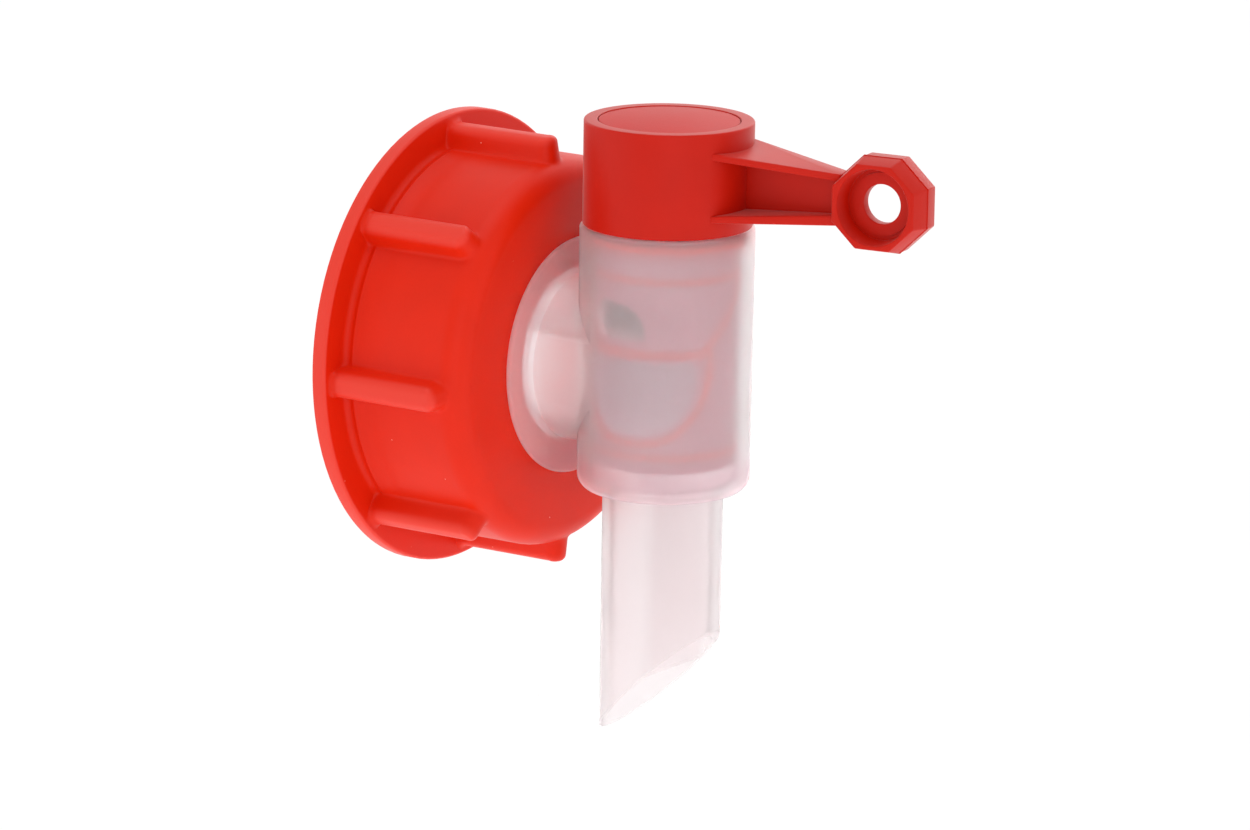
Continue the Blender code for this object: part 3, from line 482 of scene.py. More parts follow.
def specks_group():
    """Sparse pale specks, each a tiny scuff or a grain of dust."""
    group, start, end = new_group("Specks", [
        ("Vector", "NodeSocketVector", (0.0, 0.0, 0.0)),
        ("Scale", "NodeSocketFloat", 700.0),
        ("Size", "NodeSocketFloat", 0.08),
        ("Share", "NodeSocketFloat", 0.06),
    ], [("Mask", "NodeSocketFloat")])
    cells = group.nodes.new("ShaderNodeTexVoronoi")
    group.links.new(start.outputs["Vector"], cells.inputs["Vector"])
    group.links.new(start.outputs["Scale"], cells.inputs["Scale"])
    near = math_node(group, "LESS_THAN", cells.outputs["Distance"], start.outputs["Size"])
    split = group.nodes.new("ShaderNodeSeparateColor")
    group.links.new(cells.outputs["Color"], split.inputs["Color"])
    chosen = math_node(group, "LESS_THAN", split.outputs[0], start.outputs["Share"])
    group.links.new(math_node(group, "MULTIPLY", near, chosen), end.inputs["Mask"])
    return group


def use_group(tree, group, values):
    node = tree.nodes.new("ShaderNodeGroup")
    node.node_tree = group
    for label, value in values.items():
        if isinstance(value, (int, float)):
            node.inputs[label].default_value = value
        else:
            tree.links.new(value, node.inputs[label])
    return node


def shared_group(name, make):
    return bpy.data.node_groups.get(name) or make()


def mixed_colour(tree, factor, first, second):
    """Mix two colours, each a socket or plain values, by a mask."""
    node = tree.nodes.new("ShaderNodeMix")
    node.data_type = "RGBA"
    tree.links.new(factor, node.inputs[0])
    for socket, value in ((node.inputs[6], first), (node.inputs[7], second)):
        if isinstance(value, (tuple, list)):
            socket.default_value = (*value, 1.0)
        else:
            tree.links.new(value, socket)
    return node.outputs[2]


def spread(tree, value, low, high):
    """Map a mask of 0 to 1 to a range of values."""
    node = tree.nodes.new("ShaderNodeMapRange")
    tree.links.new(value, node.inputs["Value"])
    node.inputs["To Min"].default_value = low
    node.inputs["To Max"].default_value = high
    return node.outputs["Result"]


def ramp(tree, value, start, end):
    """A soft step from zero at the start to one at the end."""
    node = tree.nodes.new("ShaderNodeMapRange")
    node.interpolation_type = "SMOOTHSTEP"
    tree.links.new(value, node.inputs["Value"])
    node.inputs["From Min"].default_value = start
    node.inputs["From Max"].default_value = end
    return node.outputs["Result"]


def tinted(colour_value, factor):
    return tuple(min(1.0, channel * factor) for channel in colour_value)


def plastic_material(name, base, roughness, grain=0.5, bump=0.25, specks=0.05, speck_scale=700.0,
                     speck_colour=(0.92, 0.34, 0.28), glow=0.0, gloss=0.5, sheen=0.0):
    """Satin plastic as it comes from the mould."""
    material = bpy.data.materials.new(name)
    material.use_nodes = True
    tree = material.node_tree
    shader = tree.nodes["Principled BSDF"]
    place_node = tree.nodes.new("ShaderNodeTexCoord")
    vector = place_node.outputs["Object"]
    skin = use_group(tree, shared_group("Moulded skin", moulded_skin_group),
                     {"Vector": vector, "Grain": grain})
    dust = use_group(tree, shared_group("Specks", specks_group),
                     {"Vector": vector, "Scale": speck_scale, "Share": specks})
    tone = mixed_colour(tree, skin.outputs["Tone"], tinted(base, 0.90), tinted(base, 1.10))
    tree.links.new(mixed_colour(tree, dust.outputs["Mask"], tone, speck_colour),
                   shader.inputs["Base Color"])
    tree.links.new(spread(tree, skin.outputs["Tone"], roughness - 0.05, roughness + 0.05),
                   shader.inputs["Roughness"])
    relief = tree.nodes.new("ShaderNodeBump")
    relief.inputs["Strength"].default_value = bump
    relief.inputs["Distance"].default_value = 0.00006
    tree.links.new(skin.outputs["Height"], relief.inputs["Height"])
    tree.links.new(relief.outputs["Normal"], shader.inputs["Normal"])
    shader.inputs["Metallic"].default_value = 0.0
    shader.inputs["IOR"].default_value = 1.5
    shader.inputs["Specular IOR Level"].default_value = gloss
    shader.inputs["Sheen Weight"].default_value = sheen
    shader.inputs["Sheen Roughness"].default_value = 0.30
    shader.inputs["Sheen Tint"].default_value = (1.0, 0.82, 0.78, 1.0)
    if glow > 0.0:
        shader.inputs["Subsurface Weight"].default_value = glow
        shader.inputs["Subsurface Radius"].default_value = (1.0, 0.25, 0.2)
        shader.inputs["Subsurface Scale"].default_value = 0.0012
    return material


def natural_material(settings):
    """Uncoloured plastic: milky, frosted, and it lets light through; painted light from the red parts and
    painted shade are laid over its colour by place.
    """
    material = plastic_material("natural_plastic_fine", tuple(settings.plastic), settings.frost,
                                grain=0.4, bump=0.2, specks=0.02,
                                speck_colour=(0.98, 0.97, 0.97))
    shader = material.node_tree.nodes["Principled BSDF"]
    shader.inputs["Transmission Weight"].default_value = settings.clarity
    shader.inputs["IOR"].default_value = 1.10
    tree = material.node_tree
    square, along, height = from_barrel_axis(tree)
    _, _, front, _ = cap_levels(bpy.context.scene.tap_cap)
    # Painted light and shade by place: darker neck and spout walls as painted shade, and the light of the
    # cap, lever and plug through the walls as painted tints.
    outside = ramp(tree, square, 0.0146 ** 2, 0.0158 ** 2)
    disc = ramp(tree, along, front - GAP - 0.0016, front - GAP - 0.0011)
    spout = ramp(tree, height, settings.barrel_foot + 0.0002, settings.barrel_foot - 0.0010)
    high = ramp(tree, height, settings.barrel_top - 0.0045, settings.barrel_top - 0.0010)
    foot = ramp(tree, height, -0.0128, -0.0160)
    barrel = math_node(tree, "GREATER_THAN", height, settings.barrel_foot - 0.0002)
    for mask, tint in ((outside, settings.neck_shade_painted), (disc, settings.cap_light_painted),
                       (high, settings.lever_red_light_painted), (spout, settings.spout_shade_painted),
                       (math_node(tree, "MULTIPLY", foot, barrel), settings.plug_red_light_painted)):
        tint_where(material, mask, tuple(tint))
    return material


def from_barrel_axis(tree):
    """Squared distance from the barrel's axis, place along Y and height of a surface's points."""
    place_node = tree.nodes.new("ShaderNodeTexCoord")
    split = tree.nodes.new("ShaderNodeSeparateXYZ")
    tree.links.new(place_node.outputs["Object"], split.inputs["Vector"])
    across = math_node(tree, "POWER", split.outputs["X"], 2.0)
    ahead = math_node(tree, "SUBTRACT", split.outputs["Y"], BARREL_Y)
    square = math_node(tree, "ADD", across, math_node(tree, "POWER", ahead, 2.0))
    return square, split.outputs["Y"], split.outputs["Z"]


def tint_where(material, mask, tint):
    """Lay a colour over the base colour where the mask is one."""
    tree = material.node_tree
    shader = tree.nodes["Principled BSDF"]
    under = shader.inputs["Base Color"].links[0].from_socket
    tree.links.new(mixed_colour(tree, mask, under, tint), shader.inputs["Base Color"])


def paint_grip_rub_and_highlight(material, settings):
    """Lay a paler red on the crests of the ribs and the flange's edge: partly the dulling where hands rub
    it, partly a painted highlight.
    """
    tree = material.node_tree
    place_node = tree.nodes.new("ShaderNodeTexCoord")
    split = tree.nodes.new("ShaderNodeSeparateXYZ")
    tree.links.new(place_node.outputs["Object"], split.inputs["Vector"])
    square = math_node(tree, "ADD", math_node(tree, "POWER", split.outputs["X"], 2.0),
                       math_node(tree, "POWER", split.outputs["Z"], 2.0))
    _, flange_front, _, _ = cap_levels(settings)
    crest = ramp(tree, square, 0.0340 ** 2, 0.0358 ** 2)
    ahead = ramp(tree, split.outputs["Y"], flange_front - 0.0004, flange_front - 0.0016)
    rim = ramp(tree, square, (settings.flange_radius - 0.0006) ** 2,
               (settings.flange_radius - 0.0002) ** 2)
    rub_and_highlight_mask = math_node(tree, "MAXIMUM", math_node(tree, "MULTIPLY", crest, ahead), rim)
    tint_where(material, rub_and_highlight_mask, tuple(settings.rub_and_highlight_red))


def paint_plug_haze(material, settings):
    """Paint the barrel wall's haze over the plug's red where an air gap parts it from the barrel, only a
    faint painted haze on its seal beads, a stronger painted haze in its hollow, and painted light in the
    hollow at the air port.
    """
    tree = material.node_tree
    square, _, height = from_barrel_axis(tree)
    below = math_node(tree, "LESS_THAN", height, settings.cap_foot - 0.0002)
    above_wall = math_node(tree, "GREATER_THAN", height, DUCT_WALL_HEIGHT - HALF_WALL)
    air_side_painted_light = math_node(tree, "MULTIPLY", below, above_wall)
    inside = settings.plug_radius - 0.0003
    # Painted haze on the beads, the plug's skin and its hollow, then painted light in the hollow above
    # the level wall.
    for radius, zone, tint in ((settings.seal_crest + 0.0004, below, settings.bead_haze_painted_red),
                               (settings.plug_radius + 0.00003, below, settings.haze_painted_red),
                               (inside, below, settings.hollow),
                               (inside, air_side_painted_light, settings.air_side_painted_light)):
        slim = math_node(tree, "LESS_THAN", square, radius ** 2)
        tint_where(material, math_node(tree, "MULTIPLY", slim, zone), tuple(tint))


def foam_material(settings):
    """Closed cell foam of the gasket."""
    material = plastic_material("gasket_foam_fine", tuple(settings.foam), 0.85, grain=1.6,
                                bump=0.9, specks=0.10, speck_scale=1500.0,
                                speck_colour=(0.60, 0.60, 0.58))
    return material


# ---- screw cap -----------------------------------------------------------------------------

RIB_COLUMNS = 30
NOSE_Y = -0.0023
SIDE_START = 0.00075
SIDE_END = 0.0037


def cap_levels(s):
    """Heights along the cap's axis: rim, flange front, face and inner face."""
    rim = CAP_HIGH.y
    front = CAP_LOW.y
    return rim, rim - s.flange_thickness, front, front + s.face


def cap_rings(s):
    """The cap's section as rings round its axis: outside first, then the inside."""
    rim, flange_front, front, inner = cap_levels(s)
    edge = s.flange_edge
    fillet = s.foot_fillet
    rings = arc((s.flange_radius - edge, rim - edge), edge, 90, 0, 4)
    rings += arc((s.flange_radius - edge, flange_front + edge), edge, 0, -90, 4)
    for i in range(1, 9):
        rings.append((s.flange_radius - edge - 0.0004 * i, flange_front))
    rings += arc((s.radius + fillet, flange_front - fillet), fillet, 90, 180, 6)
    ridge = flange_front - fillet - 0.0003
    for drop, rise in ((0.0, 0.0), (0.00012, 0.00010), (0.0003, 0.00014), (0.00048, 0.00010),
                       (0.0006, 0.0)):
        rings.append((s.radius + rise, ridge - drop))
    level = ridge - 0.0006
    for i in range(1, 5):
        rings.append((s.radius, level + (0.0012 - level) * i / 4))
    centre = front + s.shoulder
    bottom_of_nose = NOSE_Y - 0.0009
    y = 0.0012
    while y > centre + 0.00005:
        y -= 0.00012
        rings.append((s.radius, max(y, centre)))
    y = centre
    while y > bottom_of_nose:
        y -= 0.00009
        rings.append((s.radius - s.shoulder + math.sqrt(s.shoulder ** 2 - (y - centre) ** 2), y))
    start = math.degrees(math.asin((y - centre) / s.shoulder))
    rings += arc((s.radius - s.shoulder, centre), s.shoulder, start, -90, 8)[1:]
    rings += arc((s.hole_radius + 0.0003, front + 0.0003), 0.0003, -90, -180, 3)
    rings += [(s.hole_radius, inner)]
    bore = s.radius - s.wall
    round_in = s.shoulder - s.wall
    rings += arc((bore - round_in, inner + round_in), round_in, -90, 0, 8)
    rings += [(bore, rim - 0.0008), (bore + 0.0008, rim)]
    rings.append(rings[0])
    return rings


def rib_height(s, across, y, wall):
    """Height where a rib stands over its foot plane, with its crest and foot rounded."""
    nose_centre = NOSE_Y + s.rib_half_crest + 0.0006
    ahead = np.maximum(nose_centre - y, 0.0)
    away = np.hypot(across, ahead)
    outside = away - s.rib_half_crest
    lean = math.atan(s.rib_slope)
    reach = math.tan(lean / 2)
    crest = s.rib_round + (s.nose_round - s.rib_round) * ahead / np.maximum(away, MERGE)
    bend = crest * math.sin(lean)
    u = np.clip(outside + crest * reach, 0.0, None)
    rounded = crest - np.sqrt(np.maximum(crest ** 2 - np.minimum(u, bend) ** 2, 0.0))
    height = s.rib_reach - np.where(u < bend, rounded, outside * s.rib_slope)
    fillet = s.rib_fillet
    hollow = fillet * math.sin(lean)
    v = (s.rib_reach - wall) / s.rib_slope + fillet * reach - outside
    inner = np.clip(v, 0.0, hollow)
    low = wall + fillet - np.sqrt(np.maximum(fillet ** 2 - inner ** 2, 0.0))
    return np.where(v > hollow, np.maximum(height, low), low)


def rib_nodes():
    """Angles of the columns from a rib's middle to half way to the next one."""
    at = 0.033
    close = [0.0, SIDE_START / 2]
    close += list(np.linspace(SIDE_START, SIDE_END, RIB_COLUMNS - 7))
    half = math.pi / 8 * at
    far = [SIDE_END + (half - SIDE_END) * f for f in (0.07, 0.18, 0.34, 0.54, 0.77, 1.0)]
    return np.array(close + far) / at


def raise_ribs(obj, s):
    """Gather the cap's columns at the ribs, then lift the wall into the ribs."""
    mesh = obj.data
    points = np.zeros(len(mesh.vertices) * 3)
    mesh.vertices.foreach_get("co", points)
    points = points.reshape(-1, 3)
    x, y, z = points.T
    radius = np.hypot(x, z)
    sector = 2 * math.pi / s.rib_count
    columns = 2 * RIB_COLUMNS
    nodes = rib_nodes()
    step = np.rint(np.arctan2(-x, z) / (sector / columns)).astype(int)
    whole = np.floor_divide(step + RIB_COLUMNS, columns)
    local = step - whole * columns
    angle = np.sign(local) * nodes[np.abs(local)] * (math.pi / s.rib_count) / (math.pi / 8)
    rim, flange_front, front, inner = cap_levels(s)
    outer = radius > s.radius - s.shoulder + 0.0005
    on_wall = outer & (y < flange_front + MERGE) & (radius > s.radius - 0.0035)
    bore = s.radius - s.wall
    inside = (radius < bore + MERGE) & (y > inner + MERGE)
    on_shoulder = y < front + s.shoulder
    surface = np.where(on_shoulder, s.radius - s.shoulder
                       + np.sqrt(np.maximum(s.shoulder ** 2 - (y - front - s.shoulder) ** 2, 0.0)),
                       s.radius)
    on_wall &= ~inside
    on_wall &= radius > surface - 0.0001
    base = np.where(on_wall, surface, radius)
    lifted = base.copy()
    for _ in range(14):
        height = rib_height(s, np.abs(lifted * np.sin(angle)), y, base * np.cos(angle))
        lifted = 0.5 * (lifted + np.maximum(height / np.cos(angle), base))
    edge = s.flange_radius - s.flange_edge
    fillet = s.foot_fillet
    on_fillet = on_wall & (y > flange_front - fillet + MERGE) & (radius < s.radius + fillet + MERGE)
    on_face = on_wall & (y > flange_front - MERGE) & (radius > s.radius + fillet + MERGE)
    excess = radius - s.radius
    room = np.clip(edge - lifted - 0.00005, 0.0, fillet)
    raised = np.maximum(radius, lifted)
    raised = np.where(on_fillet, lifted + excess * room / fillet, raised)
    beyond = (excess - fillet) / (edge - s.radius - fillet)
    raised = np.where(on_face, lifted + room + beyond * (edge - lifted - room), raised)
    new_radius = np.where(on_wall, raised, radius)
    new_y = y
    turned = angle + whole * sector + s.rib_turn
    points[:, 0] = -new_radius * np.sin(turned)
    points[:, 1] = new_y
    points[:, 2] = new_radius * np.cos(turned)
    mesh.vertices.foreach_set("co", points.ravel())
    mesh.update()


def thread_form(s):
    """The cap's inner thread: a small trapezoid led round the bore by a screw modifier."""
    bore = s.radius - s.wall
    bpy.ops.object.select_all(action="DESELECT")
    bpy.ops.mesh.primitive_plane_add(size=1.0, rotation=(math.pi / 2, 0.0, 0.0))
    obj = bpy.context.object
    obj.name = "cap_thread"
    settle_place(obj)
    for vert in obj.data.vertices:
        half = 0.0007 if vert.co.x < 0 else 0.0013
        vert.co = (bore - s.thread_depth if vert.co.x < 0 else bore + 0.0004, 0.0,
                   math.copysign(half, vert.co.z))
    screw = obj.modifiers.new("Lead", "SCREW")
    screw.axis = "Z"
    screw.angle = 2 * math.pi * s.thread_turns
    screw.screw_offset = s.thread_pitch * s.thread_turns
    steps = round(96 * s.thread_turns)
    screw.steps = steps
    screw.render_steps = steps
    pick(obj)
    bpy.ops.object.modifier_apply(modifier=screw.name)
    run_out = math.radians(30.0)
    total = 2 * math.pi * s.thread_turns
    for vert in obj.data.vertices:
        if math.hypot(vert.co.x, vert.co.y) > bore:
            continue
        led = min(1.0, max(0.0, (vert.co.z + 0.0007) / (s.thread_pitch * s.thread_turns))) * total
        ends = min(led, total - led) / run_out
        if ends < 1.0:
            depth = s.thread_depth * (max(ends, 0.0) - 1.0) + 0.0
            scale = (bore - s.thread_depth - depth + (0.0002 if ends < 0.2 else 0.0))
            ratio = scale / math.hypot(vert.co.x, vert.co.y)
            vert.co.x *= ratio
            vert.co.y *= ratio
    edit(obj)
    bpy.ops.mesh.select_all(action="SELECT")
    bpy.ops.mesh.fill_holes(sides=4)
    bpy.ops.mesh.normals_make_consistent(inside=False)
    leave_edit()
    return place(obj, (0.0, 0.0055, 0.0), (-math.pi / 2, 0.0, 0.0))


class TAP_OT_screw_cap(bpy.types.Operator):
    """Build the ribbed screw cap with its flange and inner thread"""
    bl_idname = "jerrycan_tap.screw_cap"
    bl_label = "Screw Cap"

    def execute(self, context):
        s = context.scene.tap_cap
        cap = ring_form("cap_moulding", cap_rings(s), 2 * RIB_COLUMNS * s.rib_count, closed=True)
        lay_along_cap_axis(cap)
        raise_ribs(cap, s)
        thread = thread_form(s)
        pick(cap, thread)
        bpy.ops.object.join()
        material = plastic_material("cap_red_fine", tuple(s.plastic), 0.42, grain=0.5, bump=0.35,
                                    specks=0.012, glow=0.12, gloss=0.18, sheen=0.07)
        # Paler red on the grip: rubbing wear and a painted highlight.
        paint_grip_rub_and_highlight(material, s)
        finish_piece(cap, "screw_cap", "cap", material, math.radians(50.0))
        return {"FINISHED"}


class TAP_OT_gasket(bpy.types.Operator):
    """Build the flat foam gasket in the cap"""
    bl_idname = "jerrycan_tap.gasket"
    bl_label = "Gasket"

    def execute(self, context):
        s = context.scene.tap_cap
        low, high = GASKET_LOW.y, GASKET_HIGH.y
        lip = 0.0154
        outer = GASKET_HIGH.x
        soft = 0.0002
        rings = [(s.hole_radius, low + soft), (s.hole_radius, high - GAP - soft)]
        rings += [(s.hole_radius + soft, high - GAP), (lip, high - GAP), (lip + soft, high)]
        rings += arc((outer - soft, high - soft), soft, 90, 0, 3)
        rings += arc((outer - soft, low + soft), soft, 0, -90, 3)
        rings += [(s.hole_radius + soft, low), (s.hole_radius, low + soft)]
        gasket = lay_along_cap_axis(ring_form("gasket_ring", rings, ROUND_STEPS, closed=True))
        finish_piece(gasket, "neck_gasket", "tap", foam_material(s))
        return {"FINISHED"}


# ---- tap body ------------------------------------------------------------------------------

DUCT_WALL_HEIGHT = 0.0059
HALF_WALL = 0.0006
DIVIDER_OFFSET = 0.0028
FLOOR = 0.0016
LIQUID_PORT = (0.0058, 0.0044, -0.0089)
AIR_PORT = (0.0050, 0.0074, 0.0116)
PLUG_LIQUID_PORT = (0.0091, 0.0032, -0.0087)
PLUG_AIR_PORT = (0.0062, 0.0068, 0.0125)
PLUG_TURN = math.radians(7.57)
AIR_PORT_TURN = math.radians(-23.0)
STOP_AZIMUTH = math.radians(-45.0)
STOP_WIDTH = math.radians(10.0)
STOP_HEIGHT = 0.0014


def d_shape(name, radius, low, high, point, normal, steps=SMALL_STEPS):
    """A round bar with one side cut flat."""
    return keep_side(cylinder(name, radius, low, high, steps), point, normal)


PORT_FULLNESS = 0.75


def square_off(place, half):
    """Move a point of an ellipse outward, so that the form is fuller at its corners."""
    return math.copysign(half * (abs(place) / half) ** PORT_FULLNESS, place)


def port_form(name, port, reach):
    """Half a full ellipse seen along the port's axis, drawn out along it."""
    half_width, flat, crown = port
    obj = cylinder(name, 1.0, 0.0, reach)
    obj.scale = (half_width, abs(crown - flat), 1.0)
    settle_place(obj)
    for vert in obj.data.vertices:
        vert.co.x = square_off(vert.co.x, half_width)
        vert.co.y = square_off(vert.co.y, abs(crown - flat))
    side = 1.0 if crown > flat else -1.0
    keep_side(obj, (0.0, 0.0, 0.0), (0.0, -side, 0.0))
    return place(obj, (0.0, flat, 0.0))


def port_way(name, port, turn, reach):
    """A port's form from the barrel's axis outward, turned from the neck's side."""
    start = (-math.sin(turn) * reach, BARREL_Y + math.cos(turn) * reach, 0.0)
    return place(port_form(name, port, reach), start, (math.pi / 2, 0.0, turn))


def barrel_rings(s):
    lip = 0.0004
    foot_radius = s.barrel_radius - s.barrel_draft
    rings = [(s.barrel_radius - lip, s.barrel_top)]
    rings += arc((s.barrel_radius - lip, s.barrel_top - lip), lip, 90, 0, 3)[1:]
    rings += arc((foot_radius - s.foot_round, s.barrel_foot + s.foot_round), s.foot_round,
                 0, -90, 8)
    rings += arc((s.spout_radius + 0.0005, s.barrel_foot - 0.0005), 0.0005, 90, 180, 4)
    rings += [(s.spout_radius - 0.00015, s.spout_tip - 0.001)]
    return rings


def neck_rings(s):
    """Neck with its thrust disc in front of the cap and its snap ring behind, along the axis."""
    _, _, front, _ = cap_levels(bpy.context.scene.tap_cap)
    back = front - GAP
    face = back - 0.0010
    dish = 0.0005
    rim = 0.0005
    snap = s.neck_radius + 0.0014
    end = 0.0040
    rings = [(s.neck_bore + 0.0002, end), (s.neck_radius - 0.0005, end),
             (s.neck_radius - 0.0003, end - 0.0001),
             (snap - 0.0002, 0.0020), (snap, 0.0017), (snap, 0.0007), (snap - 0.0002, 0.0004),
             (snap - 0.0004, GAP), (s.neck_radius, GAP), (s.neck_radius, back - dish)]
    rings += arc((s.disc_radius - rim, back - rim), rim, 90, -90, 8)
    rings += [(s.neck_radius + 0.0006, face - dish)]
    rings += arc((s.neck_radius + 0.0002, face - dish - 0.0002), 0.0002, 90, 180, 3)[1:]
    rings += [(s.neck_radius, BARREL_Y)]
    return rings


def barrel_bore_rings(s):
    bore = s.barrel_radius - s.barrel_draft - s.barrel_wall
    top = s.barrel_top
    groove = top - 0.0008
    rings = [(bore + 0.0014, top + 0.001), (bore, top - 0.0004), (bore, groove),
             (bore + 0.0006, groove - 0.0003), (bore + 0.0006, groove - 0.0017),
             (bore, groove - 0.0020)]
    floor = s.barrel_foot + FLOOR
    rings += arc((bore - 0.0016, floor + 0.0016), 0.0016, 0, -90, 5)
    return rings


class TAP_OT_tap_body(bpy.types.Operator):
    """Build the translucent body: barrel, ducted neck, thrust disc and slanted spout"""
    bl_idname = "jerrycan_tap.tap_body"
    bl_label = "Tap Body"

    def execute(self, context):
        s = context.scene.tap_body
        neck = lay_along_cap_axis(solid_turned("neck", neck_rings(s), ROUND_STEPS))
        ducts = []
        for name, level, side in (("liquid_duct", DUCT_WALL_HEIGHT - HALF_WALL, 1.0),
                                  ("air_duct", DUCT_WALL_HEIGHT + HALF_WALL, -1.0)):
            duct = cylinder(name, s.neck_bore, BARREL_Y - 0.001, 0.006)
            lay_along_cap_axis(duct)
            ducts.append(keep_side(duct, (0.0, 0.0, level), (0.0, 0.0, side)))
        combine(neck, "DIFFERENCE", *ducts)
        body = stand_on_barrel_axis(solid_turned("body_moulding", barrel_rings(s), ROUND_STEPS))
        combine(body, "UNION", neck)
        bore = stand_on_barrel_axis(solid_turned("barrel_bore", barrel_bore_rings(s), ROUND_STEPS))
        combine(body, "DIFFERENCE", bore)
        reach = s.barrel_radius + 0.001
        combine(body, "DIFFERENCE", port_way("body_liquid_port", LIQUID_PORT, 0.0, reach),
                port_way("body_air_port", AIR_PORT, 0.0, reach))
        low = s.spout_tip - 0.002
        high = s.barrel_foot + FLOOR + 0.001
        spout_bore = s.spout_radius - s.spout_wall
        middle = BARREL_Y - DIVIDER_OFFSET
        for name, edge, side in (("spout_liquid", middle + HALF_WALL, -1.0),
                                 ("spout_air", middle - HALF_WALL, 1.0)):
            space = stand_on_barrel_axis(cylinder(name, spout_bore, low, high))
            keep_side(space, (0.0, edge, 0.0), (0.0, side, 0.0))
            combine(body, "DIFFERENCE", space)
        barrel_bore = s.barrel_radius - s.barrel_draft - s.barrel_wall
        half = math.sqrt(barrel_bore ** 2 - DIVIDER_OFFSET ** 2) + s.barrel_wall / 2
        wall_top = context.scene.tap_lever.plug_foot - GAP
        divider = box("floor_divider", (-half, middle - HALF_WALL, s.barrel_foot + FLOOR / 2),
                      (half, middle + HALF_WALL, wall_top))
        lever = context.scene.tap_lever
        lug = sector_block("stop_lug", lever.plug_radius - lever.plug_wall + GAP,
                           barrel_bore + s.barrel_wall / 2, STOP_AZIMUTH - STOP_WIDTH / 2,
                           STOP_WIDTH, s.barrel_foot + FLOOR / 2, lever.plug_foot + STOP_HEIGHT)
        combine(body, "UNION", divider, lug)
        mouth = spout_mouth_block(s)
        combine(body, "DIFFERENCE", mouth)
        weld_seams(body)
        finish_piece(body, "tap_body", "tap", natural_material(s))
        return {"FINISHED"}


def spout_mouth_block(s):
    """Everything below the slanted mouth, which faces the front."""
    rise = (s.spout_short_side - s.spout_tip) / (2 * s.spout_radius)
    middle = (s.spout_short_side + s.spout_tip) / 2
    block = box("spout_mouth", (-0.02, -0.04, -0.05), (0.02, 0.04, 0.0))
    return place(block, (0.0, BARREL_Y, middle), (-math.atan(rise), 0.0, 0.0))


# ---- lever ---------------------------------------------------------------------------------

def plug_rings(s):
    """Plug, cap over it and the recess from above, as one closed section."""
    body = bpy.context.scene.tap_body
    bore = s.plug_radius - s.plug_wall
    barrel_bore = body.barrel_radius - body.barrel_draft - body.barrel_wall
    ceiling = 0.0146
    web = 0.0016
    recess = 0.01071
    disc_bore = 0.01151
    seat = DISC_LOW.z + 0.0017
    bead_top = body.barrel_top - 0.0008 - 0.0004
    bead_radius = barrel_bore + 0.0006 - GAP
    rings = [(bore, ceiling + web), (bore, s.cap_foot + web),
             (recess, s.cap_foot + web + recess - bore), (recess, seat), (disc_bore, seat),
             (disc_bore, s.cap_top - 0.00010), (disc_bore + 0.00010, s.cap_top)]
    rings += arc((s.cap_radius - s.cap_edge, s.cap_top - s.cap_edge), s.cap_edge, 90, 0, 6)
    rings += arc((s.cap_radius - 0.00035, s.cap_foot + 0.0003), 0.0003, 0, -90, 3)
    rings += [(s.plug_radius, s.cap_foot), (s.plug_radius, bead_top + 0.00015),
              (bead_radius, bead_top - 0.0002), (bead_radius, bead_top - 0.0010),
              (s.plug_radius, bead_top - 0.0014)]
    for level in (0.0165, -0.0122):
        rings += arc((s.seal_crest - 0.0007, level), 0.0007, 68, -68, 6)
    rings += [(s.plug_radius, s.plug_foot + 0.0004), (s.plug_radius - 0.0004, s.plug_foot),
              (bore, s.plug_foot), (bore, ceiling)]
    return rings


def plug_walls(s):
    """The level wall between the ports and the upright wall down the plug."""
    hold = s.plug_radius - s.plug_wall / 2
    level_low = DUCT_WALL_HEIGHT - HALF_WALL
    level = stand_on_barrel_axis(cylinder("level_wall", hold, level_low, level_low + 2 * HALF_WALL))
    keep_side(level, (DIVIDER_OFFSET + HALF_WALL, 0.0, 0.0), (1.0, 0.0, 0.0))
    side = math.sqrt((s.plug_radius - s.plug_wall) ** 2 - DIVIDER_OFFSET ** 2) + s.plug_wall / 3
    upright = box("upright_wall", (DIVIDER_OFFSET - HALF_WALL, BARREL_Y - side, s.plug_foot),
                  (DIVIDER_OFFSET + HALF_WALL, BARREL_Y + side, level_low + HALF_WALL))
    return level, upright


def seal_beads(s):
    """The bead round the liquid port and the pair that climbs past the air port."""
    bead_radius = 0.0010
    margin = 0.0014
    centre = s.seal_crest - bead_radius
    steps = 24

    def on_plug(across, height):
        azimuth = across / s.plug_radius - PLUG_TURN
        return (-centre * math.cos(azimuth), BARREL_Y + centre * math.sin(azimuth), height)

    def wrapped(across):
        return s.plug_radius * math.asin(min(across / s.plug_radius, 0.99))

    half_width, flat, crown = PLUG_LIQUID_PORT
    base = flat + margin
    loop = []
    for i in range(steps + 1):
        angle = math.pi * i / steps
        across = square_off((half_width + margin) * math.cos(angle), half_width + margin)
        height = base + square_off((crown - margin - base) * math.sin(angle),
                                   base + margin - crown)
        loop.append(on_plug(math.copysign(wrapped(abs(across)), across), height))
    end = wrapped(half_width + margin)
    for i in range(1, steps):
        loop.append(on_plug(-end * (1 - 2 * i / steps), base))
    made = [bead("liquid_seal", loop, bead_radius, True)]
    inner = wrapped(AIR_PORT[0] + margin)
    rise = 0.0165 - base
    beyond = -s.plug_radius * AIR_PORT_TURN
    for name, side, start in (("air_seal_back", -1.0, inner + beyond),
                              ("air_seal_front", 1.0, inner)):
        run = [on_plug(side * (start + rise * i / 12), base + rise * i / 12) for i in range(13)]
        made.append(bead(name, run, bead_radius))
    return made


PARTING_STEP = 0.00009


def across_eye(obj, s):
    """Place a form drawn round Z so that its top faces the near side, at the eye's centre."""
    spot = (math.sin(s.turn) * s.eye_distance, BARREL_Y - math.cos(s.turn) * s.eye_distance,
            s.cap_foot + 0.00715)
    return place(obj, spot, (math.pi / 2, 0.0, s.turn - math.pi / 2))


